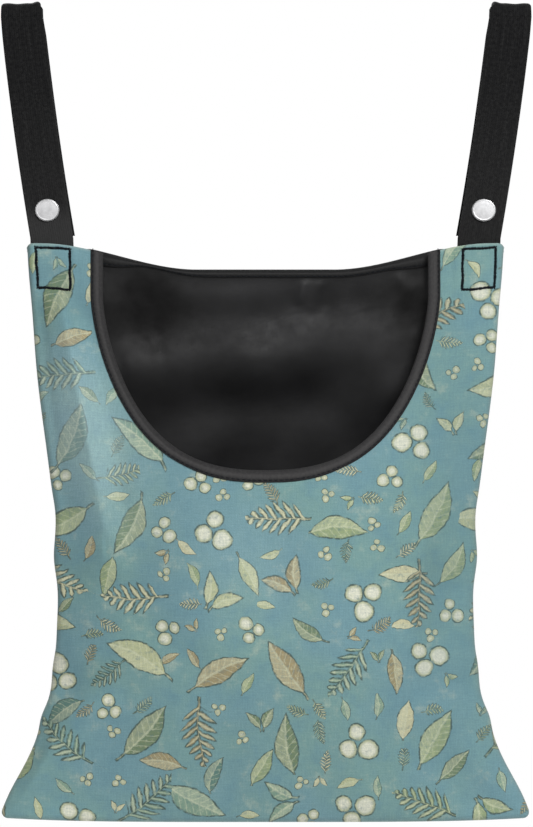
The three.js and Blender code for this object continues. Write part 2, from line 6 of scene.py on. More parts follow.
import logging
import math
from dataclasses import dataclass, field, replace
from enum import Enum
from typing import Callable, Sequence, Union

import bpy
import numpy as np
from bpy.types import Material, Node, NodeSocket, NodeTree, Object, bpy_prop_collection
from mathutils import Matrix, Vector

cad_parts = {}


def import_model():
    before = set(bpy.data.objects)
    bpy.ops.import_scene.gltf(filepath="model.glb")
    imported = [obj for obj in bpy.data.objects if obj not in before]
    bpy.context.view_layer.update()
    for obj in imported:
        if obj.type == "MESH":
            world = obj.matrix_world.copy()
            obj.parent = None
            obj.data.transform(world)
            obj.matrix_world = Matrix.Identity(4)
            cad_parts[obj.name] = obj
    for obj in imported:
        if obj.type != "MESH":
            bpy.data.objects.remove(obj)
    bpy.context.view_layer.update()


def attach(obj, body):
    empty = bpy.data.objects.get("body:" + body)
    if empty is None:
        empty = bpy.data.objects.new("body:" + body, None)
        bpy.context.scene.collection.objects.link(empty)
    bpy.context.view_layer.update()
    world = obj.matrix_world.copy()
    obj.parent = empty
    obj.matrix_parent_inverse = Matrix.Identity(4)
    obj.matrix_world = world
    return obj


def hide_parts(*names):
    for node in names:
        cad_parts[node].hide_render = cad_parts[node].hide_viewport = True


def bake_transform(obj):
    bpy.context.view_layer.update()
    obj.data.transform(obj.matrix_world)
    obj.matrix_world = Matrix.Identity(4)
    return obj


LOG = logging.getLogger("peg_bag")
MM = 0.001
CLOTH_MAP = "cloth"
Array = np.ndarray
Marks = dict[str, Array]
Spot = tuple[float, float]
Colour = tuple[float, float, float, float]
Value = Union[float, Sequence[float], NodeSocket]


class Face(Enum):
    """A side of the pouch, with the way that it faces along Y."""

    FRONT = -1
    BACK = 1


class Hand(Enum):
    """One of the two straps, with the sign of its X."""

    LEFT = -1
    RIGHT = 1

    @property
    def word(self) -> str:
        """The strap's word in piece, node and body names."""
        return self.name.lower()


class Slot(Enum):
    """Material slots of the record."""

    PRINTED_CLOTH = "printed_cloth"
    LINING_CLOTH = "lining_cloth"
    BINDING_TAPE = "binding_tape"
    WEBBING = "webbing"
    THREAD = "thread"
    CAP_METAL = "cap_metal"
    SNAP_METAL = "snap_metal"


def srgb(*levels: float) -> Colour:
    """Gives the linear colour, with an alpha of 1, of three sRGB levels from 0 to 255."""
    shares = [level / 255 for level in levels]
    return (*(s / 12.92 if s <= 0.04045 else ((s + 0.055) / 1.055) ** 2.4 for s in shares), 1.0)


def smoothstep(low: float, high: float, value: Array) -> Array:
    """Rises smoothly from 0 at low to 1 at high; low may be the larger."""
    share = np.clip((np.asarray(value, float) - low) / (high - low), 0, 1)
    return share * share * (3 - 2 * share)


def roll(share: Array) -> Array:
    """Height of a quarter circle, from 0 at share 0 to 1 at share 1."""
    away = 1 - np.clip(share, 0, 1)
    return np.sqrt(np.maximum(0, 1 - away * away))


def beside_line(start: Spot, end: Spot, x: Array, depth: Array) -> tuple[Array, Array, Array]:
    """Sets places against a straight line on the cloth.

    Args:
        start: Start of the line, as x and depth.
        end: End of the line.
        x: Places across the cloth.
        depth: Depths below the top edge.

    Returns:
        Share of the line's length at its nearest point, and the gaps from that point in x and in depth.
    """
    run_x, run_d = end[0] - start[0], end[1] - start[1]
    share = ((x - start[0]) * run_x + (depth - start[1]) * run_d) / (run_x**2 + run_d**2)
    share = np.clip(share, 0, 1)
    return share, x - start[0] - share * run_x, depth - start[1] - share * run_d


@dataclass(frozen=True)
class Fold:
    """A soft ridge, or a valley where rise is below 0, along a line on the cloth.

    Its flank towards the middle of the bag is inner times as wide as the other.
    A sharp one has straight flanks.
    """

    start: Spot
    end: Spot
    width: float
    rise: float
    inner: float = 1.0
    sharp: bool = False

    def at(self, x: Array, depth: Array) -> Array:
        """Gives the fold's height.

        Args:
            x: Places across the cloth.
            depth: Depths below the top edge.

        Returns:
            Height of the fold at each place.
        """
        share, gap_x, gap_d = beside_line(self.start, self.end, x, depth)
        fade = np.sqrt(np.sin(math.pi * (0.1 + 0.8 * share)))
        middle = (self.start[0] + self.end[0]) / 2
        reach = np.hypot(gap_x, gap_d) / (self.width * np.where(gap_x * middle < 0, self.inner, 1.0))
        if self.sharp:
            return self.rise * fade * np.logaddexp(0, 8 * (1.08 - np.hypot(reach, 0.08))) / 8
        return self.rise * fade * np.exp(-(reach**2) / 2)

    def mirrored(self, share: float) -> "Fold":
        """Gives the same fold on the other half of the cloth, at a share of its height."""
        start, end = ((-spot[0], spot[1]) for spot in (self.start, self.end))
        return replace(self, start=start, end=end, rise=self.rise * share)


@dataclass(frozen=True)
class Ripple:
    """Smooth unevenness of cloth: a seeded sum of waves in many directions."""

    seed: int
    height: float
    wavelength: float
    waves: int = 8

    def at(self, x: Array, depth: Array) -> Array:
        """Gives the ripple's height.

        Args:
            x: Places across the cloth.
            depth: Depths below the top edge.

        Returns:
            Height of the ripple at each place.
        """
        chance = np.random.default_rng(self.seed)
        total = np.zeros(np.broadcast(x, depth).shape)
        for _ in range(self.waves):
            turn = chance.uniform(0, 2 * math.pi)
            phase = chance.uniform(0, 2 * math.pi)
            length = self.wavelength * chance.uniform(0.7, 1.6)
            along = x * math.cos(turn) + depth * math.sin(turn)
            total = total + np.sin(2 * math.pi * along / length + phase)
        return self.height * total / math.sqrt(self.waves)


def add_object(name: str, data: bpy.types.ID) -> Object:
    """Makes an object and links it to the scene.

    Args:
        name: Name of the object.
        data: Its mesh, lamp or camera.

    Returns:
        The new object.
    """
    made = bpy.data.objects.new(name, data)
    bpy.context.scene.collection.objects.link(made)
    return made


def mesh_object(
    name: str,
    points: Array,
    faces: Array,
    uv: Array | None = None,
    marks: Marks | None = None,
    crease: float = 50.0,
) -> Object:
    """Makes a closed, smooth-shaded mesh object at the origin, with its faces turned outwards.

    Args:
        name: Name of the object.
        points: Places in millimetres, one row each.
        faces: Corners of each four-sided face.
        uv: Place of each point on the cloth's own map, in metres.
        marks: Numbers that each point holds for the finishes, by name.
        crease: Angle in degrees above which an edge is shaded sharp.

    Returns:
        The new object, linked to the scene.
    """
    corner = points[faces]
    across = np.cross(corner[:, 2] - corner[:, 0], corner[:, 3] - corner[:, 1])
    if float((corner.mean(axis=1) * across).sum()) < 0:
        faces = faces[:, ::-1]
    mesh = bpy.data.meshes.new(name)
    mesh.from_pydata((points * MM).tolist(), [], faces.tolist())
    mesh.validate()
    if uv is not None:
        layer = mesh.uv_layers.new(name=CLOTH_MAP)
        index = np.empty(len(mesh.loops), np.int32)
        mesh.loops.foreach_get("vertex_index", index)
        layer.data.foreach_set("uv", uv[index].astype(np.float32).ravel())
    for key, values in (marks or {}).items():
        held = mesh.attributes.new(key, "FLOAT", "POINT")
        held.data.foreach_set("value", values.astype(np.float32))
    mesh.shade_smooth()
    mesh.set_sharp_from_angle(angle=math.radians(crease))
    return add_object(name, mesh)


def grid_normals(grid: Array) -> Array:
    """Unit directions square to a grid of places."""
    normals = np.cross(np.gradient(grid, axis=0), np.gradient(grid, axis=1))
    return normals / np.maximum(np.linalg.norm(normals, axis=2, keepdims=True), 1e-9)


def grid_quads(index: Array) -> Array:
    """Corners of the faces of a grid of numbered points."""
    corners = (index[:-1, :-1], index[:-1, 1:], index[1:, 1:], index[1:, :-1])
    return np.stack([c.ravel() for c in corners], axis=1)


def stacked(*parts: Array | float) -> Array:
    """Places, or ways, from their parts such as x and depth; a number stands for a row of it."""
    return np.stack(np.broadcast_arrays(*parts), axis=-1)



def circle(count: int) -> Array:
    """Evenly spaced angles round a circle."""
    return np.linspace(0, 2 * math.pi, count + 1)[:-1]


def tube_faces(rings: int, count: int, closed: bool = False) -> Array:
    """Gives the faces of a tube.

    Args:
        rings: Number of rings of points, which are numbered ring by ring.
        count: Points in each ring.
        closed: Whether the last ring joins the first.

    Returns:
        Corners of each four-sided face.
    """
    spots = np.arange(count)
    after = (spots + 1) % count
    faces = []
    for ring in range(rings if closed else rings - 1):
        near, far = ring * count, (ring + 1) % rings * count
        faces.append(np.stack([near + spots, near + after, far + after, far + spots], axis=1))
    return np.concatenate(faces)


def path_normals(path: Array) -> Array:
    """Unit directions square to a path of [x, depth] places, to its left."""
    run = np.gradient(path, axis=0)
    return (run / np.linalg.norm(run, axis=1, keepdims=True))[:, ::-1] * (-1, 1)


def path_run(path: Array) -> Array:
    """Distances along a path from its start to each of its places."""
    return np.concatenate([[0], np.cumsum(np.linalg.norm(np.diff(path, axis=0), axis=1))])


def both_halves(left: Array) -> Array:
    """A path of [x, depth] places that ends in the middle, carried on by its mirror image."""
    return np.concatenate([left, left[-2::-1] * (-1, 1)])


def shell_object(name: str, outer: Array, inner: Array, uv: Array, marks: Marks) -> Object:
    """Makes a thin closed shell between two grids of the same size.

    Args:
        name: Name of the object.
        outer: Grid of places on one face, in millimetres.
        inner: Grid of places on the other face.
        uv: Cloth-map place of each grid point.
        marks: Numbers that each grid point holds for the finishes, by name.

    Returns:
        The new object.
    """
    count = outer[..., 0].size
    index = np.arange(count).reshape(outer.shape[:2])
    near = grid_quads(index)
    rim = np.concatenate([index[0, :-1], index[:-1, -1], index[-1, :0:-1], index[:0:-1, 0]])
    ahead = np.roll(rim, -1)
    edge = np.stack([ahead, rim, rim + count, ahead + count], axis=1)
    faces = np.concatenate([near, near[:, ::-1] + count, edge])
    points = np.concatenate([outer.reshape(-1, 3), inner.reshape(-1, 3)])
    both_uv = np.tile(uv.reshape(-1, 2), (2, 1))
    both_marks = {key: np.tile(values.ravel(), 2) for key, values in marks.items()}
    return mesh_object(name, points, faces, both_uv, both_marks)


@dataclass(frozen=True)
class Finish:
    """A material, and the slot of the record that it belongs to."""

    material: Material
    slot: Slot


def dress(piece: Object, finish: Finish, replaces: Sequence[str], body: str | None = None) -> Object:
    """Gives a piece its finish and its place in the frame.

    Args:
        piece: The piece.
        finish: Its finish.
        replaces: Nodes that the piece stands for.
        body: Body that it rides on, or None for a piece that spans two bodies, which is then left
            unattached.

    Returns:
        The same piece.
    """
    piece.data.materials.clear()
    piece.data.materials.append(finish.material)
    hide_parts(*replaces)
    if body is not None:
        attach(piece, body)
    LOG.info("%s: %d faces, %s, body %s", piece.name, len(piece.data.polygons), finish.material.name, body)
    return piece


def socket_of(sockets: bpy_prop_collection, key: str | int) -> NodeSocket:
    """Gives a socket by its identifier, or else by its name or number."""
    named = {socket.identifier: socket for socket in sockets}
    return named[key] if key in named else sockets[key]


class NodeGraph:
    """Short calls that build a node tree."""

    def __init__(self, tree: NodeTree) -> None:
        """Starts from an empty tree."""
        self.tree = tree
        tree.nodes.clear()

    def node(self, kind: str, feeds: dict[str | int, Value] | None = None, **settings: object) -> Node:
        """Adds a node.

        Args:
            kind: Node type.
            feeds: Links or constants for its inputs, by identifier, name or number.
            settings: Properties of the node.

        Returns:
            The new node.
        """
        made = self.tree.nodes.new(kind)
        for name, value in settings.items():
            setattr(made, name, value)
        for key, value in (feeds or {}).items():
            self.feed(socket_of(made.inputs, key), value)
        return made

    def feed(self, socket: NodeSocket, value: Value) -> None:
        """Links a socket to another, or sets it to a constant.

        Args:
            socket: The socket.
            value: The other socket, or the constant.
        """
        if isinstance(value, NodeSocket):
            self.tree.links.new(value, socket)
        else:
            socket.default_value = value

    def math(self, operation: str, *values: Value) -> NodeSocket:
        """Adds a Math node and gives its result."""
        return self.node("ShaderNodeMath", dict(enumerate(values)), operation=operation).outputs[0]

    def vector(self, operation: str, *values: Value) -> NodeSocket:
        """Adds a Vector Math node and gives its result, a number for a distance and else a vector."""
        made = self.node("ShaderNodeVectorMath", dict(enumerate(values)), operation=operation)
        return made.outputs["Value" if operation == "DISTANCE" else "Vector"]

    def scaled(self, vector: Value, factor: float) -> NodeSocket:
        """Gives a vector times a number."""
        made = self.node("ShaderNodeVectorMath", {"Vector": vector, "Scale": factor}, operation="SCALE")
        return made.outputs["Vector"]

    def step(
        self, value: Value, low: float, high: float, start: float = 0.0, end: float = 1.0
    ) -> NodeSocket:
        """Gives a smooth step of a value.

        Args:
            value: The value.
            low: Value at which the step starts.
            high: Value at which it ends.
            start: Result at low.
            end: Result at high.

        Returns:
            The stepped value.
        """
        if high < low:
            low, high, start, end = high, low, end, start
        feeds = {"Value": value, "From Min": low, "From Max": high, "To Min": start, "To Max": end}
        made = self.node("ShaderNodeMapRange", feeds, interpolation_type="SMOOTHSTEP", clamp=True)
        return made.outputs[0]

    def mix(self, share: Value, first: Value, second: Value) -> NodeSocket:
        """Gives the mix of two colours that has a share of the second."""
        feeds = {"Factor_Float": share, "A_Color": first, "B_Color": second}
        return self.node("ShaderNodeMix", feeds, data_type="RGBA", clamp_factor=True).outputs[2]

    def pick(self, share: Value, first: Value, second: Value) -> NodeSocket:
        """Gives the second number where share is 1 and the first where it is 0."""
        feeds = {"Factor_Float": share, "A_Float": first, "B_Float": second}
        return self.node("ShaderNodeMix", feeds, data_type="FLOAT").outputs[0]

    def noise(self, place: Value, scale: float, detail: float = 3.0, rough: float = 0.55) -> NodeSocket:
        """Gives noise from about 0 to 1, with scale lumps to a unit of place."""
        feeds = {"Vector": place, "Scale": scale, "Detail": detail, "Roughness": rough}
        return self.node("ShaderNodeTexNoise", feeds, noise_dimensions="3D").outputs[0]

    def warped(self, place: Value, scale: float, reach: float) -> NodeSocket:
        """Moves places about by noise.

        Args:
            place: The places.
            scale: How many of the noise's blots go to a unit of length.
            reach: How far it moves them.

        Returns:
            The moved places.
        """
        noise = self.node("ShaderNodeTexNoise", {"Vector": place, "Scale": scale})
        centred = self.vector("SUBTRACT", noise.outputs["Color"], (0.5, 0.5, 0.5))
        return self.vector("ADD", place, self.scaled(centred, reach))

    def split(self, vector: Value) -> tuple[NodeSocket, ...]:
        """Gives the three parts of a vector."""
        return tuple(self.node("ShaderNodeSeparateXYZ", {0: vector}).outputs)

    def wave(self, value: Value, length: float) -> NodeSocket:
        """Gives a sine of the given wavelength."""
        return self.math("SINE", self.math("MULTIPLY", value, 2 * math.pi / length))

    def bump(self, height: Value, distance: float, strength: float) -> NodeSocket:
        """Gives the normal of a height from about 0 to 1, where 1 is a distance in metres."""
        feeds = {"Strength": strength, "Distance": distance, "Height": height}
        return self.node("ShaderNodeBump", feeds).outputs["Normal"]


class MaterialGraph(NodeGraph):
    """A material's node tree with its shader and places already there."""

    def __init__(self, name: str, **constants: Value) -> None:
        """Makes the material.

        Args:
            name: Name of the material.
            constants: Shader inputs that are the same all over, with _ for each space.
        """
        self.material = bpy.data.materials.new(name)
        self.material.use_nodes = True
        super().__init__(self.material.node_tree)
        self.shader = self.node("ShaderNodeBsdfPrincipled")
        self.output = self.node("ShaderNodeOutputMaterial", {"Surface": self.shader.outputs[0]})
        for key, value in constants.items():
            self.set(key.replace("_", " "), value)

    def set(self, name: str, value: Value) -> None:
        """Sets one of the shader's inputs."""
        self.feed(self.shader.inputs[name], value)

    def cloth_place(self) -> NodeSocket:
        """Gives the place on the cloth's own map, in millimetres."""
        return self.scaled(self.node("ShaderNodeUVMap", uv_map=CLOTH_MAP).outputs[0], 1000.0)

    def object_place(self) -> NodeSocket:
        """Gives the place in the object's frame, in millimetres."""
        return self.scaled(self.node("ShaderNodeTexCoord").outputs["Object"], 1000.0)

    def attribute(self, name: str) -> NodeSocket:
        """Gives a number that each point of the mesh holds."""
        return self.node("ShaderNodeAttribute", attribute_name=name).outputs["Fac"]


def node_group(
    name: str, kind: str, inputs: dict[str, str], outputs: dict[str, str]
) -> tuple[NodeGraph, bpy_prop_collection]:
    """Starts a node group.

    Args:
        name: Name of the group.
        kind: Type of its tree.
        inputs: Socket type of each named input.
        outputs: Socket type of each named output.

    Returns:
        The group's graph, and its inputs as sockets to link from.
    """
    group = bpy.data.node_groups.new(name, kind)
    for way, names in (("INPUT", inputs), ("OUTPUT", outputs)):
        for key, socket_type in names.items():
            group.interface.new_socket(key, in_out=way, socket_type=socket_type)
    graph = NodeGraph(group)
    return graph, graph.node("NodeGroupInput").outputs


FORM_INPUTS = ("Along", "Across", "Length", "Width", "Bend")
FORM_OUTPUTS = ("Gap", "Vein", "Side")


@dataclass(frozen=True)
class MotifLayer:
    """One layer of tossed motifs: its scale, where it starts, and the room that each motif needs."""

    share: float
    offset: tuple[float, float, float]
    room: float


@dataclass(frozen=True)
class PrintedCloth:
    """Woven cloth with a tossed print of leaves, ferns and pebbles on a mottled teal ground."""

    ground: Colour = srgb(110, 144, 151)
    ground_green: Colour = srgb(115, 148, 144)
    ground_blue: Colour = srgb(98, 134, 145)
    leaf_tones: tuple[Colour, ...] = (
        srgb(142, 154, 110),
        srgb(176, 178, 136),
        srgb(108, 122, 86),
        srgb(124, 148, 126),
        srgb(192, 186, 148),
        srgb(152, 136, 96),
        srgb(90, 118, 104),
    )
    leaf_light: Colour = srgb(204, 205, 174)
    pebble: Colour = srgb(214, 213, 194)
    pebble_shade: Colour = srgb(178, 180, 146)
    line: Colour = srgb(62, 72, 60)
    # dusk is the print's deep teal and is also laid on as painted shade; pale is painted light along the
    # folds
    dusk: Colour = srgb(74, 104, 112)
    pale: Colour = srgb(192, 216, 220)
    cell: float = 42.0
    leaf: tuple[float, float] = (38.0, 14.5)
    fern: tuple[float, float] = (42.0, 10.0)
    fern_spacing: float = 5.4
    sprout: tuple[float, float] = (19.0, 8.0)
    kinds: tuple[float, float, float] = (0.74, 0.6, 0.32)
    pebbles: tuple[tuple[float, float, float], ...] = ((-6.0, -3.2, 5.8), (6.4, -2.4, 4.8), (0.2, 6.4, 5.2))
    layers: tuple[MotifLayer, ...] = (
        MotifLayer(1.0, (0.0, 0.0, 0.0), 0.0),
        MotifLayer(0.66, (311.0, 173.0, 0.0), 10.5),
        MotifLayer(0.36, (127.0, 419.0, 0.0), 6.5),
    )

    def form(self, name: str) -> tuple[NodeGraph, tuple[NodeSocket, ...]]:
        """Starts the node group of a motif that lies along a bent line.

        Args:
            name: Name of the group.

        Returns:
            The group's graph, and sockets: place along the motif, its width, half its length, the place as
            a share of that, the share's square, distance from the bent line, and the same without a sign.
        """
        floats = [dict.fromkeys(names, "NodeSocketFloat") for names in (FORM_INPUTS, FORM_OUTPUTS)]
        graph, given = node_group(name, "ShaderNodeTree", *floats)
        calc = graph.math
        along, across, length, width, bend = (given[key] for key in FORM_INPUTS)
        half = calc("MULTIPLY", length, 0.5)
        share = calc("DIVIDE", along, half)
        square = calc("MULTIPLY", share, share)
        line = calc("SUBTRACT", across, calc("MULTIPLY", bend, calc("SUBTRACT", square, 0.4)))
        return graph, (along, width, half, share, square, line, calc("ABSOLUTE", line))

    def leaf_form(self) -> NodeTree:
        """Makes the node group of one leaf with its stalk and veins.

        Returns:
            The node group.
        """
        graph, (along, width, half, share, square, line, off) = self.form("leaf_form")
        calc = graph.math
        taper = calc("MULTIPLY_ADD", share, -0.28, 1.0)
        profile = calc("MULTIPLY", calc("SUBTRACT", 1.0, square), taper)
        blade = calc("SUBTRACT", off, calc("MULTIPLY", calc("MULTIPLY", width, 0.5), profile))
        from_base = calc("ABSOLUTE", calc("ADD", share, 1.1))
        stalk_end = calc("MULTIPLY", calc("SUBTRACT", from_base, 0.18), half)
        stalk = calc("MAXIMUM", calc("SUBTRACT", off, 0.55), stalk_end)
        midrib = graph.step(off, 0.75, 0.35)
        ladder = calc("DIVIDE", calc("MULTIPLY_ADD", off, -0.8, along), 4.4)
        rung = calc("ABSOLUTE", calc("SUBTRACT", calc("FRACT", ladder), 0.5))
        vein = calc("MAXIMUM", midrib, graph.step(rung, 0.12, 0.05, 0.0, 0.7))
        side = graph.step(line, -0.3, 0.3)
        graph.node("NodeGroupOutput", {"Gap": calc("MINIMUM", blade, stalk), "Vein": vein, "Side": side})
        return graph.tree

    def fern_form(self) -> NodeTree:
        """Makes the node group of a fern: a stem with small leaves by turns on its two sides.

        Returns:
            The node group.
        """
        graph, (along, width, half, share, square, line, off) = self.form("fern_form")
        calc = graph.math
        above = calc("GREATER_THAN", line, 0.0)
        shifted = calc("MULTIPLY_ADD", above, self.fern_spacing / 2, along)
        slanted = calc("MULTIPLY_ADD", off, -0.7, shifted)
        spot = calc("SUBTRACT", calc("FRACT", calc("DIVIDE", slanted, self.fern_spacing)), 0.5)
        beside = calc("MULTIPLY", calc("ABSOLUTE", spot), 0.8 * self.fern_spacing)
        tip = calc("SUBTRACT", 1.0, calc("MULTIPLY", square, 0.85))
        start = graph.step(share, -0.75, -0.45)
        length = calc("MULTIPLY", calc("MULTIPLY", width, tip), start)
        out = calc("DIVIDE", off, calc("MAXIMUM", length, 0.05))
        narrow = calc("SUBTRACT", 1.0, calc("MULTIPLY", out, out))
        reach = calc("MULTIPLY", narrow, calc("MULTIPLY_ADD", out, 1.9, 0.8))
        blade = calc("SUBTRACT", beside, reach)
        ends = calc("MULTIPLY", calc("SUBTRACT", calc("ABSOLUTE", share), 1.0), half)
        stem = calc("MAXIMUM", calc("SUBTRACT", off, 0.6), ends)
        vein = graph.step(beside, 0.55, 0.2, 0.0, 0.8)
        graph.node("NodeGroupOutput", {"Gap": calc("MINIMUM", blade, stem), "Vein": vein, "Side": above})
        return graph.tree

    def turned(self, graph: NodeGraph, vector: Value, angle: Value) -> NodeSocket:
        """Gives a vector turned about Z."""
        feeds = {"Vector": vector, "Angle": angle}
        return graph.node("ShaderNodeVectorRotate", feeds, rotation_type="Z_AXIS").outputs[0]

    def scatter(self) -> NodeTree:
        """Makes the node group that tosses one motif into each cell of a loose lattice.

        Returns:
            The node group, which gives the gap to the nearest motif's outline and what fills it.
        """
        outputs = dict.fromkeys((*FORM_OUTPUTS, "Tint", "Pebble"), "NodeSocketFloat")
        outputs["Centre"] = "NodeSocketVector"
        graph, given = node_group("motif_scatter", "ShaderNodeTree", {"Place": "NodeSocketVector"}, outputs)
        calc = graph.math
        cells = self.cells(graph, given["Place"], self.cell, 0.42)
        local = graph.vector("SUBTRACT", given["Place"], cells["Position"])
        turn, size, kind = graph.node("ShaderNodeSeparateColor", {0: cells["Color"]}).outputs
        spun = self.turned(graph, local, calc("MULTIPLY", turn, 2 * math.pi))
        along, across, _ = graph.split(spun)
        grown = calc("MULTIPLY_ADD", size, 0.2, 0.86)
        bend = calc("MULTIPLY_ADD", size, 9.0, -4.5)
        leaf_form = self.leaf_form()
        forms = []
        for tree, form in ((leaf_form, self.leaf), (self.fern_form(), self.fern)):
            sizes = [calc("MULTIPLY", grown, side) for side in form]
            feeds = dict(zip(FORM_INPUTS, (along, across, *sizes, bend)))
            forms.append(graph.node("ShaderNodeGroup", feeds, node_tree=tree).outputs)
        sides = {0: calc("ADD", along, 9.0), 1: calc("ABSOLUTE", across)}
        folded = graph.node("ShaderNodeCombineXYZ", sides).outputs[0]
        pair_along, pair_across, _ = graph.split(self.turned(graph, folded, math.radians(-34)))
        pair = (calc("SUBTRACT", pair_along, 11.0), pair_across, *self.sprout, 1.6)
        sprout = graph.node("ShaderNodeGroup", dict(zip(FORM_INPUTS, pair)), node_tree=leaf_form).outputs
        stones = None
        for x, y, radius in self.pebbles:
            stone = calc("SUBTRACT", graph.vector("DISTANCE", spun, (x, y, 0.0)), radius)
            stones = stone if stones is None else calc("MINIMUM", stones, stone)
        is_pebble, is_sprout, is_fern = (calc("GREATER_THAN", kind, share) for share in self.kinds)
        result = {}
        for name in FORM_OUTPUTS:
            value = graph.pick(is_fern, forms[0][name], forms[1][name])
            result[name] = graph.pick(is_sprout, value, sprout[name])
        result["Gap"] = graph.pick(is_pebble, result["Gap"], stones)
        result["Tint"] = calc("FRACT", calc("MULTIPLY", turn, 7.3))
        graph.node("NodeGroupOutput", result | {"Pebble": is_pebble, "Centre": cells["Position"]})
        return graph.tree

    def cells(self, graph: NodeGraph, place: Value, size: float, loose: float) -> bpy_prop_collection:
        """Gives the outputs of a lattice of cells, which stray from a square one by loose, up to 1."""
        feeds = {"Vector": place, "Scale": 1 / size, "Randomness": loose}
        return graph.node("ShaderNodeTexVoronoi", feeds, voronoi_dimensions="2D").outputs

    def layer_at(
        self, graph: NodeGraph, scatter: NodeTree, place: Value, rank: int
    ) -> tuple[bpy_prop_collection, NodeSocket]:
        """Reads one layer of motifs, less those that the layers over it leave no room for.

        Args:
            graph: The graph to add to.
            scatter: The node group that tosses the motifs.
            place: Where it is read.
            rank: Which layer it is, from the uppermost.

        Returns:
            The layer's outputs, and the gap to the outline of its nearest motif.
        """
        layer = self.layers[rank]
        moved = graph.vector("ADD", graph.scaled(place, 1 / layer.share), layer.offset)
        motif = graph.node("ShaderNodeGroup", {"Place": moved}, node_tree=scatter).outputs
        gap = graph.math("MULTIPLY", motif["Gap"], layer.share)
        home = graph.scaled(graph.vector("SUBTRACT", motif["Centre"], layer.offset), layer.share)
        for above in range(rank):
            crowded = graph.math("LESS_THAN", self.layer_at(graph, scatter, home, above)[1], layer.room)
            gap = graph.math("MULTIPLY_ADD", crowded, 100.0, gap)
        return motif, gap

    def laid(
        self,
        graph: NodeGraph,
        under: Value,
        motif: bpy_prop_collection,
        gap: Value,
        share: float,
        mottle: Value,
    ) -> NodeSocket:
        """Lays motifs over a colour.

        Args:
            graph: The graph to add to.
            under: Colour below them.
            motif: Outputs of the tossed motifs.
            gap: Gap to their outline, in millimetres.
            share: Their scale.
            mottle: Noise that breaks up the print.

        Returns:
            The colour with the motifs on it.
        """
        tones = graph.node("ShaderNodeValToRGB", {0: motif["Tint"]})
        tones.color_ramp.interpolation = "CONSTANT"
        stops = tones.color_ramp.elements
        while len(stops) < len(self.leaf_tones):
            stops.new(0.5)
        for index, tone in enumerate(self.leaf_tones):
            stops[index].position = index / len(self.leaf_tones)
            stops[index].color = tone
        leaf = graph.mix(graph.math("MULTIPLY", motif["Side"], 0.3), tones.outputs[0], self.leaf_light)
        leaf = graph.mix(graph.math("MULTIPLY", motif["Vein"], 0.45), leaf, self.leaf_light)
        pebble = graph.mix(graph.step(gap, -2.6, -0.6), self.pebble, self.pebble_shade)
        filled = graph.mix(motif["Pebble"], leaf, pebble)
        filled = graph.mix(graph.step(mottle, 0.5, 0.75, 0.0, 0.5), filled, self.leaf_light)
        filled = graph.mix(graph.step(mottle, 0.48, 0.28, 0.0, 0.5), filled, self.dusk)
        colour = graph.mix(graph.step(gap, 0.25, -0.25), under, filled)
        outline = graph.step(graph.math("ABSOLUTE", gap), 0.75 * share**0.8, 0.2 * share)
        broken = graph.math("MULTIPLY", outline, graph.step(mottle, 0.36, 0.56, 0.15, 0.95))
        return graph.mix(broken, colour, self.line)

    def material(self) -> Material:
        """Makes the printed cloth, with painted light and shade along its folds.

        Returns:
            The material.
        """
        graph = MaterialGraph(
            "printed_cloth", Sheen_Weight=0.06, Sheen_Roughness=0.5, Specular_IOR_Level=0.12
        )
        place = graph.cloth_place()
        broad = graph.noise(place, 1 / 70, 2.0)
        patchy = graph.noise(place, 1 / 16, 5.0, 0.66)
        ground = graph.mix(graph.step(broad, 0.35, 0.62), self.ground, self.ground_green)
        ground = graph.mix(graph.step(patchy, 0.44, 0.74, 0.0, 0.75), ground, self.ground_blue)
        ground = graph.mix(graph.step(patchy, 0.46, 0.26, 0.0, 0.3), ground, self.leaf_light)
        scatter = self.scatter()
        drawn = graph.warped(graph.warped(place, 1 / 11, 3.0), 1 / 1.9, 0.9)
        mottle = graph.noise(place, 1 / 3.4, 4.0, 0.66)
        colour = ground
        for rank in reversed(range(len(self.layers))):
            motif, gap = self.layer_at(graph, scatter, drawn, rank)
            colour = self.laid(graph, colour, motif, gap, self.layers[rank].share, mottle)
        colour = graph.mix(graph.math("MULTIPLY", graph.attribute("wear"), 0.2), colour, self.pebble)
        # painted light and shade: the 'fade' mark lightens the cloth towards pale beside the left fold and
        # in the middle, and darkens it towards dusk down the right side and at the top left
        fade = graph.attribute("fade")
        colour = graph.mix(graph.step(fade, 0.0, 1.0, 0.0, 0.26), colour, self.pale)
        colour = graph.mix(graph.step(fade, 0.0, -1.0, 0.0, 0.45), colour, self.dusk)
        x, y, _ = graph.split(place)
        weave = graph.math("MULTIPLY", graph.wave(x, 0.9), graph.wave(y, 0.9))
        warp = graph.noise(graph.vector("MULTIPLY", place, (1.4, 0.12, 1.0)), 1.0, 2.0)
        weft = graph.noise(graph.vector("MULTIPLY", place, (0.12, 1.4, 1.0)), 1.0, 2.0)
        thread = graph.math("ADD", warp, weft)
        grain = graph.noise(place, 1.1, 3.0, 0.7)
        colour = graph.mix(graph.step(thread, 0.75, 1.3, 0.22, 0.0), colour, self.dusk)
        colour = graph.mix(graph.step(grain, 0.3, 0.72, 0.26, 0.0), colour, self.dusk)
        height = graph.math("ADD", graph.math("MULTIPLY_ADD", thread, 1.2, weave), grain)
        graph.set("Base Color", colour)
        graph.set("Roughness", graph.step(grain, 0.2, 0.8, 0.8, 0.94))
        graph.set("Normal", graph.bump(height, 0.0001, 0.4))
        return graph.material


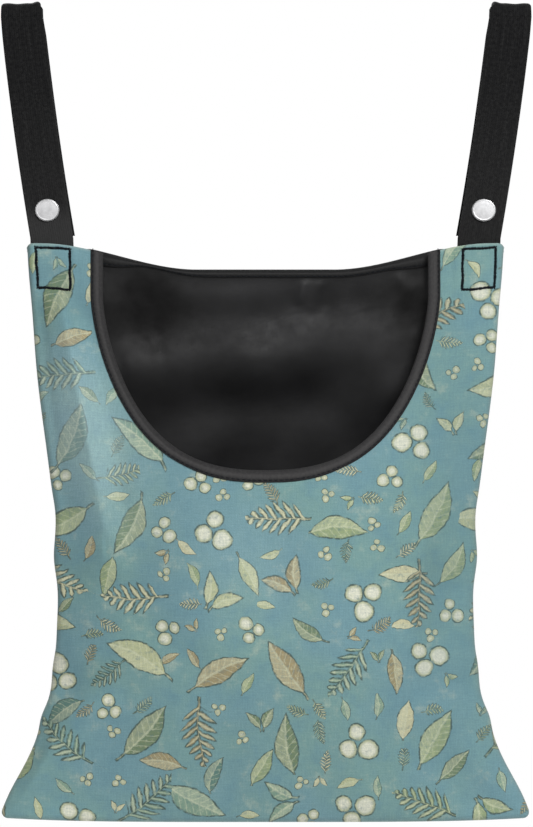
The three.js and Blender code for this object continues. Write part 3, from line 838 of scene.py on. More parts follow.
@dataclass(frozen=True)
class SatinLining:
    """Black satin with a soft sheen and a fine slanting grain."""

    dark: Colour = srgb(3, 3, 3)
    light: Colour = srgb(30, 30, 31)

    def material(self) -> Material:
        """Makes the lining's finish.

        Returns:
            The material.
        """
        graph = MaterialGraph("lining_satin", Specular_IOR_Level=0.15)
        place = graph.cloth_place()
        cloudy = graph.step(graph.noise(place, 1 / 38, 3.0), 0.32, 0.7, -0.2, 0.2)
        # painted shade and light: the mark darkens patches of the satin and lightens bands of it, about a
        # middle of 0.5
        shade = graph.math("ADD", cloudy, graph.attribute("nap"))
        graph.set("Base Color", graph.mix(shade, self.dark, self.light))
        x, y, _ = graph.split(place)
        grain = graph.wave(graph.math("MULTIPLY_ADD", y, 0.6, x), 0.55)
        crush = graph.noise(place, 1 / 7, 3.0)
        dull = graph.step(shade, -0.6, 0.4, 0.36, 0.0)
        graph.set("Roughness", graph.math("ADD", graph.step(crush, 0.25, 0.8, 0.42, 0.56), dull))
        graph.set("Normal", graph.bump(graph.math("MULTIPLY_ADD", crush, 6.0, grain), 0.00006, 0.4))
        return graph.material


@dataclass(frozen=True)
class BindingTape:
    """Black woven tape with fine ribs across it."""

    name: str
    dark: Colour
    light: Colour

    def material(self) -> Material:
        """Makes the tape's finish.

        Returns:
            The material.
        """
        graph = MaterialGraph(self.name, Specular_IOR_Level=0.1, Sheen_Weight=0.05)
        place = graph.cloth_place()
        across, along, _ = graph.split(place)
        ribs = graph.math("MULTIPLY", graph.wave(along, 0.7), graph.wave(across, 1.1))
        fuzz = graph.noise(place, 1 / 1.7, 3.0)
        uneven = graph.step(fuzz, 0.3, 0.75, 0.14, 0.4)
        # painted light and shade: on the tapes this mark is a painted highlight along the middle and painted
        # shade at the outer edge; on cloth and webbing it is edge wear
        shade = graph.math("MULTIPLY_ADD", graph.attribute("wear"), 0.4, uneven)
        graph.set("Base Color", graph.mix(shade, self.dark, self.light))
        graph.set("Roughness", graph.step(fuzz, 0.2, 0.8, 0.6, 0.78))
        graph.set("Normal", graph.bump(graph.math("MULTIPLY_ADD", fuzz, 1.0, ribs), 0.00006, 0.25))
        return graph.material


@dataclass(frozen=True)
class RibbedWebbing:
    """Black cotton webbing with ribs along it and a tight weave across."""

    dark: Colour = srgb(13, 13, 14)
    light: Colour = srgb(36, 36, 36)
    # tone that the left strap's front turns towards just below its snap
    rubbed: Colour = srgb(56, 56, 56)

    def material(self) -> Material:
        """Makes the webbing's finish.

        Returns:
            The material.
        """
        graph = MaterialGraph(
            "ribbed_webbing", Specular_IOR_Level=0.06, Sheen_Weight=0.05, Sheen_Roughness=0.4
        )
        place = graph.cloth_place()
        across, along, _ = graph.split(place)
        rib = graph.wave(across, 1.3)
        weft = graph.wave(graph.math("MULTIPLY_ADD", graph.math("SIGN", rib), 0.22, along), 0.9)
        weave = graph.math("MULTIPLY_ADD", weft, 0.5, rib)
        fuzz = graph.noise(place, 1 / 1.8, 4.0, 0.65)
        streak = graph.noise(graph.vector("MULTIPLY", place, (1.0, 0.06, 1.0)), 1 / 2.2, 2.0)
        speckled = graph.math("MULTIPLY_ADD", weave, 0.1, graph.step(fuzz, 0.25, 0.75, -0.1, 1.4))
        shade = graph.math("MULTIPLY", graph.step(streak, 0.3, 0.75, 0.3, 0.65), speckled)
        handled = graph.step(along, 110.0, 10.0, 0.0, 0.35)
        shade = graph.math("ADD", graph.math("MULTIPLY_ADD", graph.attribute("wear"), 0.3, shade), handled)
        colour = graph.mix(shade, self.dark, self.light)
        # lighter towards the left strap's lower end, on its front only
        graph.set("Base Color", graph.mix(graph.attribute("rub"), colour, self.rubbed))
        graph.set("Roughness", graph.step(fuzz, 0.2, 0.8, 0.8, 0.95))
        graph.set("Normal", graph.bump(graph.math("MULTIPLY_ADD", fuzz, 1.2, weave), 0.00014, 0.5))
        return graph.material


@dataclass(frozen=True)
class TwistedThread:
    """Black sewing thread with a slight twist."""

    dark: Colour = srgb(4, 7, 11)
    light: Colour = srgb(16, 20, 26)

    def material(self) -> Material:
        """Makes the thread's finish.

        Returns:
            The material.
        """
        graph = MaterialGraph("sewing_thread", Specular_IOR_Level=0.08)
        place = graph.object_place()
        x, _, z = graph.split(place)
        twist = graph.wave(graph.math("ADD", x, z), 0.32)
        fuzz = graph.noise(place, 3.0, 2.0)
        graph.set("Base Color", graph.mix(graph.step(fuzz, 0.3, 0.7), self.dark, self.light))
        graph.set("Roughness", graph.step(fuzz, 0.2, 0.8, 0.5, 0.7))
        graph.set("Normal", graph.bump(twist, 0.00005, 0.5))
        return graph.material


@dataclass(frozen=True)
class SatinMetal:
    """Plated metal, finely rubbed."""

    name: str
    bright: Colour
    dull: Colour
    smooth: float
    rough: float

    def material(self) -> Material:
        """Makes the metal's finish.

        Returns:
            The material.
        """
        graph = MaterialGraph(self.name, Metallic=1.0)
        place = graph.object_place()
        cloud = graph.noise(place, 1 / 3.0, 3.0)
        fine = graph.noise(place, 4.0, 2.0)
        graph.set("Base Color", graph.mix(graph.step(cloud, 0.3, 0.75), self.bright, self.dull))
        graph.set("Roughness", graph.step(fine, 0.2, 0.8, self.smooth, self.rough))
        graph.set("Normal", graph.bump(fine, 0.00003, 0.12))
        return graph.material


class Finishes:
    """Every finish of the bag, made once."""

    def __init__(self) -> None:
        """Makes the finishes."""
        tape = BindingTape("binding_tape", srgb(22, 22, 23), srgb(66, 65, 65))
        # The hem is the same black binding tape as the mouth's, given darker colours as painted shade.
        hem = BindingTape("hem_tape", srgb(9, 9, 10), srgb(46, 46, 46))
        cap = SatinMetal("cap_nickel", srgb(182, 182, 183), srgb(166, 166, 167), 0.34, 0.42)
        snap = SatinMetal("snap_steel", srgb(196, 196, 192), srgb(168, 168, 164), 0.28, 0.42)
        self.printed = Finish(PrintedCloth().material(), Slot.PRINTED_CLOTH)
        self.lining = Finish(SatinLining().material(), Slot.LINING_CLOTH)
        self.tape = Finish(tape.material(), Slot.BINDING_TAPE)
        self.hem = Finish(hem.material(), Slot.BINDING_TAPE)
        self.webbing = Finish(RibbedWebbing().material(), Slot.WEBBING)
        self.thread = Finish(TwistedThread().material(), Slot.THREAD)
        self.cap = Finish(cap.material(), Slot.CAP_METAL)
        self.snap = Finish(snap.material(), Slot.SNAP_METAL)


@dataclass(frozen=True)
class PouchShape:
    """Sizes of the pouch, and where a place on its cloth lies."""

    height: float = 336.0
    top_width: float = 277.0
    waist_width: float = 241.0
    waist_depth: float = 205.0
    flare_share: float = 0.3
    flare_power: float = 1.5
    bottom_width: float = 307.0
    bottom_bow: float = 2.5
    corner_round: float = 5.5
    top_corner: float = 2.2
    top_z: float = -131.0
    middle_y: float = -0.8
    top_sag: float = 15.7
    sag_flat_half: float = 40.0
    sag_slope_width: float = 90.0
    sag_reach: float = 130.0
    bulge_depth: float = 225.0
    lens_power: float = 2.2
    mouth_half: float = 95.0
    mouth_straight: float = 26.0
    mouth_round: float = 106.0
    mouth_powers: tuple[float, float] = (2.6, 1.6)
    straight_steps: int = 16
    round_steps: int = 130
    hem_narrow: float = 4.6
    hem_spread: float = 3.4
    hem_dip: float = 2.9
    side_waves: tuple[tuple[float, float, float], ...] = (
        (40.0, -1.4, 22.0),
        (156.0, -0.8, 8.0),
        (183.0, 1.9, 9.0),
        (225.0, 0.6, 9.0),
        (244.5, 1.9, 8.5),
        (275.0, 1.5, 5.5),
        (321.0, 2.5, 13.0),
    )

    def outline(self, depth: Array) -> Array:
        """Gives half of the pouch's width.

        Args:
            depth: Depths below the top edge.

        Returns:
            Half width at each depth, with the seam's waves and the rounded bottom corners.
        """
        depth = np.asarray(depth, float)
        fall = (1 + np.cos(math.pi * np.clip(depth / self.waist_depth, 0, 1))) / 2
        flare = np.maximum(0, 1 - (1 - depth / self.height) / self.flare_share) ** self.flare_power
        width = self.waist_width + (self.top_width - self.waist_width) * fall
        width = width + (self.bottom_width - self.waist_width) * flare
        half = width / 2
        for middle, swell, spread in self.side_waves:
            half = half + swell * np.exp(-(((depth - middle) / spread) ** 2) / 2)
        into_corner = np.clip(1 - (self.height - depth) / self.corner_round, 0, 1)
        return half - self.corner_round * (1 - np.sqrt(1 - into_corner**2))

    def edge(self, x: Array, depth: Array) -> Array:
        """Gives the distance to the nearer of the side and bottom seams."""
        return np.maximum(0, np.minimum(self.outline(depth) - np.abs(x), self.height - depth))

    def sag(self, x: Array) -> Array:
        """Gives how far the top edge hangs down."""
        outer = self.sag_flat_half + self.sag_slope_width
        return self.top_sag * smoothstep(outer, self.sag_flat_half, np.abs(x))

    def z(self, x: Array, depth: Array) -> Array:
        """Gives the height of a place on the cloth.

        Args:
            x: Places across the cloth.
            depth: Depths below the top edge.

        Returns:
            Z of each place, with the sag of the top edge and the rounded top corners.
        """
        sag = self.sag(x) * np.clip(1 - depth / self.sag_reach, 0, 1)
        deep = np.clip(depth / self.height, 0, 1)
        bow = self.bottom_bow * (2 * np.abs(x) / self.bottom_width) ** 4 * deep**6
        side = self.outline(np.maximum(0, depth)) - np.abs(x)
        corner = self.top_corner * (1 - roll(side / 3.2)) * smoothstep(9.0, 0.0, depth)
        return self.top_z - depth - sag + bow - corner

    def depth_at(self, x: Array, z: Array) -> Array:
        """Gives the depth on the cloth of a height.

        Args:
            x: Places across the cloth.
            z: Heights near the top edge.

        Returns:
            Depth of each place below that edge.
        """
        sag = self.sag(x)
        depth = self.top_z - z - sag
        return np.where(depth > 0, depth / (1 - sag / self.sag_reach), depth)

    def swell(self, x: Array, depth: Array) -> Array:
        """Gives how far the pouch swells out.

        Args:
            x: Places across the cloth.
            depth: Depths below the top edge.

        Returns:
            Swell of each place, from 0 at the seams to 1 where it is fullest.
        """
        down = np.clip(depth / self.bulge_depth, 0, 1)
        up = np.clip((depth - self.bulge_depth) / (self.height - self.bulge_depth), 0, 1)
        fullness = np.where(depth < self.bulge_depth, np.sin(math.pi / 2 * down), np.cos(math.pi / 2 * up))
        across = np.clip(np.abs(x) / self.outline(depth), 0, 1)
        return fullness * (1 - across**self.lens_power)

    def hem_width(self, x: Array) -> Array:
        """Gives the width of the hem that shows inside the back's top edge."""
        width = self.hem_narrow + self.hem_spread * smoothstep(68.0, 93.0, np.abs(x))
        return width - self.hem_dip * np.exp(-(((x + 64) / 19) ** 2))

    def mouth_curve(self, turn: Array) -> Array:
        """Gives the rounded edge of the mouth's left half.

        Args:
            turn: Angles from 0 at its side to a right angle at its bottom.

        Returns:
            Places [x, depth] on the curve.
        """
        out = self.mouth_half * np.abs(np.cos(turn)) ** (2 / self.mouth_powers[0])
        down = self.mouth_round * np.sin(turn) ** (2 / self.mouth_powers[1])
        return stacked(-out, self.mouth_straight + down)

    def mouth_path(self) -> Array:
        """Gives the edge of the mouth.

        Returns:
            Places [x, depth] from the top left, round the bottom, to the top right.
        """
        down = np.linspace(0, self.mouth_straight, self.straight_steps + 1)
        turn = np.linspace(0, math.pi / 2, self.round_steps + 1)[1:]
        return both_halves(np.concatenate([stacked(-self.mouth_half, down), self.mouth_curve(turn)]))

    def flat_area(self, mouth: bool) -> float:
        """Gives the flat area of a panel.

        Args:
            mouth: Whether the mouth is cut out of it.

        Returns:
            Its area in square metres.
        """
        depth = np.linspace(0, self.height, 400)
        area = float(np.mean(2 * self.outline(depth))) * self.height
        if mouth:
            x, down = self.mouth_path().T
            area -= float(np.sum(np.diff(x) * (down[1:] + down[:-1]) / 2))
        return area * MM * MM


@dataclass(frozen=True)
class SewnEnd:
    """The strap ends sewn in behind the front panel, and the rectangle of stitches that holds each."""

    middle: float = 123.5
    half_width: float = 12.5
    length: float = 27.0
    groove_half: float = 1.1
    left_box: tuple[Spot, ...] = ((-133.4, 2.3), (-113.5, 3.3), (-113.2, 27.0), (-131.9, 25.6))
    right_box: tuple[Spot, ...] = ((133.8, 2.5), (114.4, 3.4), (114.0, 27.1), (132.8, 25.6))

    def cover(self, x: Array, depth: Array, spread: float) -> Array:
        """Gives 1 over the sewn ends and 0 away from them, with a fade as wide as spread."""
        across = smoothstep(self.half_width + spread, self.half_width, np.abs(np.abs(x) - self.middle))
        return across * smoothstep(self.length + spread, self.length, depth)

    def groove(self, x: Array, fall: Array) -> Array:
        """Gives 1 on the rectangle of stitches and 0 away from it.

        Args:
            x: Places across the cloth.
            fall: Distances below the top of the pouch.

        Returns:
            How far the stitches pull each place down.
        """
        apart = np.full(np.broadcast(x, fall).shape, 1e3)
        for box in (self.left_box, self.right_box):
            for start, end in zip(box, box[1:] + box[:1]):
                _, gap_x, gap_f = beside_line(start, end, x, fall)
                apart = np.minimum(apart, np.hypot(gap_x, gap_f))
        return np.exp(-((apart / self.groove_half) ** 2))


@dataclass(frozen=True)
class ClothSide:
    """One side of the pouch: how high its plies stand from the middle plane."""

    shape: PouchShape
    sewn: SewnEnd
    face: Face
    bulge: float
    folds: tuple[Fold, ...]
    ripple: Ripple
    slack: Ripple
    lining_folds: tuple[Fold, ...] = ()
    puckers: tuple[Fold, ...] = ()
    # painted light and shade of the lining, as placed dark patches and light bands
    nap: tuple[Fold, ...] = ()
    lining_loose: float = 0.3
    seam_room: float = 3.5
    seam_round: float = 3.6
    cloth: float = 0.45
    lining: float = 0.4
    ply_gap: float = 0.3
    lining_inset: float = 3.2
    lining_close: float = 9.0
    strap_room: float = 2.2
    tab_rise: float = 0.5
    tab_room: float = 1.75
    stitch_pull: float = 0.5

    def body(self, x: Array, depth: Array) -> Array:
        """Gives the height of the cloth's outer face without the sewn ends.

        Args:
            x: Places across the cloth.
            depth: Depths below the top edge.

        Returns:
            Height of each place from the middle plane.
        """
        edge = self.shape.edge(x, depth)
        under = np.maximum(0, depth)
        folds = self.ripple.at(x, depth)
        for fold in self.folds:
            folds = folds + fold.at(x, depth)
        calm = smoothstep(0.5, 11.0, edge) * smoothstep(0.0, 24.0, depth)
        calm = calm * (1 - self.sewn.cover(x, depth, 8.0))
        seam = 0.05 + self.seam_room * roll(edge / self.seam_round)
        return seam + self.bulge * self.shape.swell(x, under) + folds * calm

    def outer(self, x: Array, depth: Array) -> Array:
        """Gives the height of the cloth's outer face.

        Args:
            x: Places across the cloth.
            depth: Depths below the top edge.

        Returns:
            Height of each place from the middle plane.
        """
        height = self.body(x, depth)
        if self.face is Face.BACK:
            return height
        fall = self.shape.top_z - self.shape.z(x, depth)
        pulled = self.stitch_pull * self.sewn.groove(x, fall)
        return height + self.tab_rise * self.sewn.cover(x, depth, 3.0) - pulled

    def lining_outer(self, x: Array, depth: Array) -> Array:
        """Gives the height of the lining's face that lies on the cloth.

        Args:
            x: Places across the cloth.
            depth: Depths below the top edge.

        Returns:
            Height of each place from the middle plane.
        """
        gap = self.cloth + self.ply_gap
        if self.face is Face.FRONT:
            gap = gap + self.tab_room * self.sewn.cover(x, depth, 6.0)
        below = depth - self.shape.hem_width(x)
        calm = smoothstep(2.0, 30.0, self.shape.edge(x, depth))
        loose = self.slack.at(x, depth) + self.lining_loose
        for fold in self.lining_folds:
            loose = loose + fold.at(x, depth)
        loose = 0.5 * np.logaddexp(0, 2 * loose) * calm * smoothstep(0.0, 22.0, below)
        for fold in self.puckers:
            loose = loose + fold.at(x, depth) * calm * smoothstep(0.0, 5.0, below)
        closing = roll((self.shape.edge(x, depth) - self.lining_inset) / self.lining_close)
        return (self.body(x, depth) - gap - loose) * closing + 0.05

    def place(self, x: Array, depth: Array, height: Array) -> Array:
        """Gives places in the row frame.

        Args:
            x: Places across the cloth.
            depth: Depths below the top edge.
            height: Heights from the middle plane.

        Returns:
            Places with a last axis of x, y and z, in millimetres.
        """
        x, depth, height = np.broadcast_arrays(x, depth, height)
        y = self.shape.middle_y + self.face.value * height
        z = self.shape.z(x, depth)
        if self.face is Face.BACK:
            behind = smoothstep(100.0, 112.0, np.abs(x)) * (1 - smoothstep(0.0, 40.0, depth))
            z = z - self.strap_room * behind
        return stacked(x, y, z)


@dataclass
class Pouch:
    """The pouch: printed panels, satin linings, bindings and seams."""

    shape: PouchShape
    sewn: SewnEnd
    finishes: Finishes
    front_bulge: float = 34.0
    back_bulge: float = 28.0
    turn_radius: float = 0.55
    turn_under: float = 4.0
    corner_ease: int = 8
    tape_width: float = 6.4
    tape_rise: float = 0.7
    tape_thick: float = 0.5
    stack: float = 1.2
    stitch_from_edge: float = 1.3
    groove_share: float = 0.7
    lip: float = 1.8
    edge_wear: float = 0.9
    hem_inset: float = 0.9
    shoulder: float = 32.0
    back_print: Spot = (430.0, -170.0)

    def __post_init__(self) -> None:
        """Works out the two sides' folds, and the painted light and shade of the front cloth and the back
        lining.
        """
        left = (
            Fold((-121.5, 16), (-93, 165), 17, 8.5, 0.75, True),
            Fold((-112, 30), (-102, 58), 5, -2.4),
        )
        # Painted light and shade on the front cloth, held in its 'fade' mark: a light streak beside the left
        # fold and in the middle, darker patches at the top left and down the right side.
        self.fading = (
            Fold((-116, 70), (-92, 150), 17, 1, 1.2),
            Fold((-108, 26), (-102, 44), 8, -0.7),
            Fold((-124, 10), (-121, 20), 12, -0.5),
            Fold((112, 20), (106, 290), 24, -0.55),
            Fold((-30, 160), (10, 210), 26, 0.35),
        )
        right = (
            Fold((118, 30), (114, 96), 5, 1.6, 2),
            Fold((92, 140), (78, 250), 7, 4.5, 1.8),
            Fold((104, 172), (98, 258), 8, -2),
        )
        waist = (
            Fold((-98, 128), (-66, 196), 8, -1.5),
            Fold((-70, 128), (-100, 200), 7, 1.6),
            Fold((-124, 183), (-76, 172), 5, 2),
            Fold((-122, 201), (-82, 198), 6, -2),
            Fold((-125, 244), (-80, 232), 5, 2.2),
            Fold((-126, 261), (-88, 254), 5.5, -2.2),
            Fold((-132, 275), (-90, 266), 4.6, 1.9),
            Fold((-150, 330), (-94, 256), 8, 3.4),
            Fold((-132, 333), (-84, 288), 7.5, -2.4),
            Fold((-58, 334), (-50, 280), 7, 1.4),
            Fold((-20, 334), (-26, 274), 8, -1.3),
        )
        middle = (
            Fold((-40, 158), (-30, 236), 15, 1.8),
            Fold((4, 150), (10, 214), 9, -1.3),
            Fold((30, 148), (44, 232), 12, 1.4),
            Fold((-72, 214), (-22, 262), 8, -1.4),
        )
        puckers = (
            Fold((24, 3), (20.5, 20), 1.6, 1.5),
            Fold((33, 3), (27, 22), 2.4, 0.9),
            Fold((76, 6), (82, 20), 1.6, 0.8),
        )
        # Painted shade and light on the back lining: dark patches at the upper left and right, light bands
        # just under the hem and lower down.
        nap = (
            Fold((-84, 22), (-54, 30), 16, -0.8),
            Fold((80, 22), (90, 42), 13, -0.7),
            Fold((54, 12), (56, 20), 5, -0.35),
            Fold((36, 16), (40, 26), 6, -0.3),
            Fold((24, 6), (21, 17), 1.5, 0.45),
            Fold((-40, 11), (6, 11), 5, 0.35),
            Fold((-46, 44), (20, 40), 9, 0.2),
            Fold((10, 42), (74, 38), 9, 0.12),
            Fold((-94, 30), (-70, 40), 8, -0.3),
        )
        hem_folds = (
            Fold((14, 12), (19, 26), 4.5, -1.4),
            Fold((38, 12), (33, 26), 5, -1.6),
            Fold((54, 10), (57, 26), 6, -2),
            Fold((-92, 18), (-52, 24), 13, -3.4),
            Fold((-84, 68), (-60, 64), 13, 3.4),
            Fold((-64, 68), (14, 60), 13, 3.2),
            Fold((-4, 62), (92, 58), 13, 2.8),
            Fold((-30, 25), (50, 27), 8, -1.4),
            Fold((-30, 88), (30, 86), 10, -2),
            Fold((78, 26), (92, 32), 9, -3.2),
            Fold((60, 86), (92, 80), 10, 2.2),
        )
        back_waist = tuple(fold.mirrored(0.9) for fold in waist)
        front_folds = left + right + waist + middle + tuple(fold.mirrored(0.75) for fold in waist)
        back_folds = back_waist + tuple(fold.mirrored(-0.7) for fold in left + right + back_waist)
        self.front = ClothSide(
            self.shape,
            self.sewn,
            Face.FRONT,
            self.front_bulge,
            front_folds,
            ripple=Ripple(11, 0.6, 80.0),
            slack=Ripple(5, 0.5, 60.0),
        )
        self.back = ClothSide(
            self.shape,
            self.sewn,
            Face.BACK,
            self.back_bulge,
            back_folds,
            ripple=Ripple(23, 0.7, 80.0),
            slack=Ripple(31, 0.9, 48.0),
            lining_folds=hem_folds,
            puckers=puckers,
            nap=nap,
            lining_loose=3.0,
        )

    def strip_rows(self) -> tuple[Array, Array]:
        """Gives matching places on the mouth's edge and on the outline.

        Returns:
            Places [x, depth] on the one and on the other, from top left to top right.
        """
        shape = self.shape
        top = np.linspace(self.turn_radius, shape.mouth_straight, 26)
        side_top = np.linspace(self.turn_radius, self.shoulder, 26)
        mouth = [stacked(-shape.mouth_half, top)]
        outline = [stacked(-shape.outline(side_top), side_top)]
        near_corner = shape.height - 7
        deep = np.linspace(self.shoulder, near_corner, 900)
        deep = np.concatenate([deep, np.linspace(near_corner, shape.height, 120)])
        side = stacked(-shape.outline(deep), deep)
        across = np.linspace(-float(shape.outline(shape.height)), 0, 400)[1:]
        route = np.concatenate([side, stacked(across, shape.height)])
        run = path_run(route)
        corner = float(run[len(side) - 1] / run[-1])
        dense = np.linspace(0, 1, 4001)
        crowd = np.cumsum(1 + 7 * np.exp(-(((dense - corner + 0.006) / 0.012) ** 2)))
        shares = np.interp(np.linspace(crowd[0], crowd[-1], 160), crowd, dense)[1:]
        turn = (0.1 * shares + 0.9 * (1 - (1 - shares) ** 1.9)) * math.pi / 2
        mouth.append(shape.mouth_curve(turn))
        outline.append(stacked(*(np.interp(shares * run[-1], run, part) for part in route.T)))
        return both_halves(np.concatenate(mouth)), both_halves(np.concatenate(outline))

    def strip_grid(self, inset: float, roll_steps: int) -> tuple[Array, Array]:
        """Gives a grid of places on the front, from the mouth's edge to the outline.

        Args:
            inset: How far inside the outline it ends.
            roll_steps: Columns over the last, rounded part.

        Returns:
            X and depth of each place.
        """
        mouth, outline = self.strip_rows()
        outline = outline * (1 - inset / np.array([self.shape.bottom_width / 2, self.shape.height]))
        square = np.pad(-path_normals(outline), ((self.corner_ease, self.corner_ease), (0, 0)), mode="edge")
        window = np.lib.stride_tricks.sliding_window_view(square, 2 * self.corner_ease + 1, axis=0)
        inward = window.mean(axis=-1)
        reach = self.front.seam_round
        ends = outline + inward * reach
        columns = [mouth + (ends - mouth) * share for share in np.linspace(0, 1, 60)]
        for step in range(1, roll_steps + 1):
            left = 1 - math.sin(math.pi / 2 * step / roll_steps)
            columns.append(outline + inward * reach * left)
        grid = np.stack(columns, axis=1)
        return grid[..., 0], grid[..., 1]

    def front_cloth(self) -> Object:
        """Makes the printed front panel, with its top edges turned under.

        Returns:
            The new object.
        """
        side = self.front
        x, depth = self.strip_grid(0.0, 9)
        height = side.outer(x, depth)
        turn = np.minimum(self.turn_radius, 0.4 * height)
        angles = np.radians(np.arange(30, 181, 30))[:, None]
        rows = [np.stack([x, depth, height])]
        for end in (0, -1):
            under = np.full_like(x[end], self.turn_under)
            under_h = side.outer(x[end], under) - 2 * turn[end]
            rows_d = np.vstack([depth[end] - self.turn_radius * np.sin(angles), under])
            rows_h = np.vstack([height[end] - turn[end] * (1 - np.cos(angles)), under_h])
            rows.append(np.stack(np.broadcast_arrays(x[end], rows_d, rows_h)))
        x, depth, height = np.concatenate([rows[1][:, ::-1], rows[0], rows[2]], axis=1)
        outer = side.place(x, depth, height)
        worn_and_painted_light = np.exp(-self.shape.edge(x, depth) / self.edge_wear) + smoothstep(1.4, 0.0, depth)
        uv = stacked(x, -depth) * MM
        # painted light and shade on the front cloth, kept as its 'fade' mark
        painted_fold_light = sum(fold.at(x, depth) for fold in self.fading)
        marks = {"wear": np.clip(worn_and_painted_light, 0, 1), "fade": painted_fold_light}
        return shell_object("front_cloth", outer, self.inner_face(side, outer), uv, marks)

    def inner_face(self, side: ClothSide, outer: Array) -> Array:
        """Gives the inner face of a panel.

        Args:
            side: The side of the pouch.
            outer: Grid of places on the outer face.

        Returns:
            Grid of places on the inner face.
        """
        normals = grid_normals(outer)
        middle = normals[normals.shape[0] // 2, normals.shape[1] // 2, 1]
        return outer - normals * math.copysign(side.cloth, middle * side.face.value)

    def full_grid(self, inset: float, roll_steps: int) -> tuple[Array, Array]:
        """Gives a grid of places over the whole back.

        Args:
            inset: How far inside the outline it ends.
            roll_steps: Columns and rows over the last, rounded part.

        Returns:
            X and depth of each place.
        """
        reach = self.back.seam_round
        lowest = self.shape.height - inset
        ends = [reach * (1 - math.sin(math.pi / 2 * step / roll_steps)) for step in range(1, roll_steps + 1)]
        rows = np.concatenate(
            [np.linspace(0, 40, 34), np.linspace(40, lowest - reach, 92)[1:], lowest - np.array(ends)]
        )
        half = (self.shape.outline(rows) - inset)[:, None]
        inner = np.linspace(-1, 1, 121)[None, :] * (half - reach)
        left = np.concatenate([-half + ends[i] for i in range(roll_steps - 1, -1, -1)], axis=1)
        x = np.concatenate([left, inner, -left[:, ::-1]], axis=1)
        return x, np.broadcast_to(rows[:, None], x.shape)

    def back_cloth(self) -> Object:
        """Makes the printed back panel.

        Returns:
            The new object.
        """
        side = self.back
        x, depth = self.full_grid(0.0, 9)
        outer = side.place(x, depth, side.outer(x, depth))
        worn_and_painted_light = np.clip(np.exp(-self.shape.edge(x, depth) / self.edge_wear), 0, 1)
        uv = stacked(self.back_print[0] - x, self.back_print[1] - depth) * MM
        return shell_object("back_cloth", outer, self.inner_face(side, outer), uv, {"wear": worn_and_painted_light})

    def lining(self, side: ClothSide, name: str) -> Object:
        """Makes one side's lining.

        Args:
            side: The side of the pouch.
            name: Name of the piece.

        Returns:
            The new object.
        """
        inset = side.lining_inset
        x, depth = self.strip_grid(inset, 8) if side.face is Face.FRONT else self.full_grid(inset, 8)
        height = side.lining_outer(x, depth)
        outer = side.place(x, depth, height)
        inner = side.place(x, depth, height - np.minimum(side.lining, 0.9 * height))
        uv = stacked(x, -depth) * MM
        # painted light and shade of the lining, about a middle of 0.5
        nap = 0.5 + sum(fold.at(x, depth) for fold in side.nap)
        return shell_object(name, outer, inner, uv, {"nap": np.broadcast_to(nap, x.shape)})

    def tape_section(self) -> tuple[Array, Array]:
        """Gives the section of a tape folded round an edge.

        Returns:
            Rows of [offset into the cloth, place through the stack, rise], for the outer and the inner skin.
            The place through the stack is 1 on the outer face and -1 on the inner one.
        """
        width = self.tape_width
        groove = width - self.stitch_from_edge
        flat = [(width, 0.62), (width - 0.12, 0.92), (width - 0.5, 1.0), (groove + 0.5, 0.95)]
        flat += [(groove, self.groove_share), (groove - 0.5, 0.98), (groove - 1.3, 1.22)]
        flat += [(groove - 2.2, 1.28), (self.lip + 0.6, 1.16), (self.lip, 0.84)]
        flat += [(self.lip - 0.6, 1.04), (0.8, 1.12)]
        outer = [(offset, 1.0, self.tape_rise * share) for offset, share in flat]
        inner = [(offset, 1.0, max(0.08, rise - self.tape_thick)) for offset, _, rise in outer]
        for angle in np.linspace(0, math.pi, 11):
            bend = math.cos(angle)
            outer.append((-0.75 * math.sin(angle), bend, self.tape_rise * bend))
            inner.append((-0.15 * math.sin(angle), bend, 0.1 * bend))
        outer += [(offset, -1.0, -rise) for offset, _, rise in outer[: len(flat)][::-1]]
        inner += [(offset, -1.0, -rise) for offset, _, rise in inner[: len(flat)][::-1]]
        return np.array(outer), np.array(inner)

    def tape(
        self,
        name: str,
        side: ClothSide,
        path: Array,
        inner_width: Callable[[Array], Array],
        wobble: Ripple,
    ) -> Object:
        """Makes a tape folded round an edge of the cloth.

        Args:
            name: Name of the piece.
            side: The side of the pouch.
            path: Places [x, depth] along the edge, with the cloth to its left as path_normals has it.
            inner_width: Share of the tape's width that its inner leg has, at each x.
            wobble: Unevenness of the tape's rise along its length.

        Returns:
            The new object.
        """
        into = path_normals(path)
        run = path_run(path)
        skins = []
        for section in self.tape_section():
            offset = np.broadcast_to(section[None, :, 0], (len(path), len(section)))
            legs = np.where(section[None, :, 1] < -0.99, inner_width(path[:, :1]), 1.0)
            offset = np.where(offset > 0, offset * legs, offset)
            on_cloth = np.maximum(0, offset)
            surface = side.outer(path[:, :1] + into[:, :1] * on_cloth, path[:, 1:] + into[:, 1:] * on_cloth)
            uneven = 1 + wobble.at(run[:, None], offset * 3)
            height = surface - self.stack * (1 - section[:, 1]) / 2 + section[:, 2] * uneven
            x, depth = path[:, :1] + into[:, :1] * offset, path[:, 1:] + into[:, 1:] * offset
            skins.append(side.place(x, depth, height))
        section = self.tape_section()[0]
        across = np.concatenate([[0], np.cumsum(np.abs(np.diff(section[:, :2], axis=0)).sum(axis=1))])
        uv = stacked(across[None, :], run[:, None]) * MM
        # painted highlight along the tape's middle, and painted shade towards its outer edge
        worn_and_painted_light = np.exp(-(((section[:, 0] - 2.8) / 1.7) ** 2)) - 0.7 * smoothstep(4.2, 6.0, section[:, 0])
        worn_and_painted_light = np.broadcast_to(worn_and_painted_light[None, :], skins[0].shape[:2])
        return shell_object(name, skins[0], skins[1], uv, {"wear": worn_and_painted_light})

    def mouth_binding(self) -> Object:
        """Makes the tape round the mouth."""
        path = self.shape.mouth_path()
        return self.tape("mouth_binding", self.front, path, np.ones_like, Ripple(41, 0.06, 26.0))

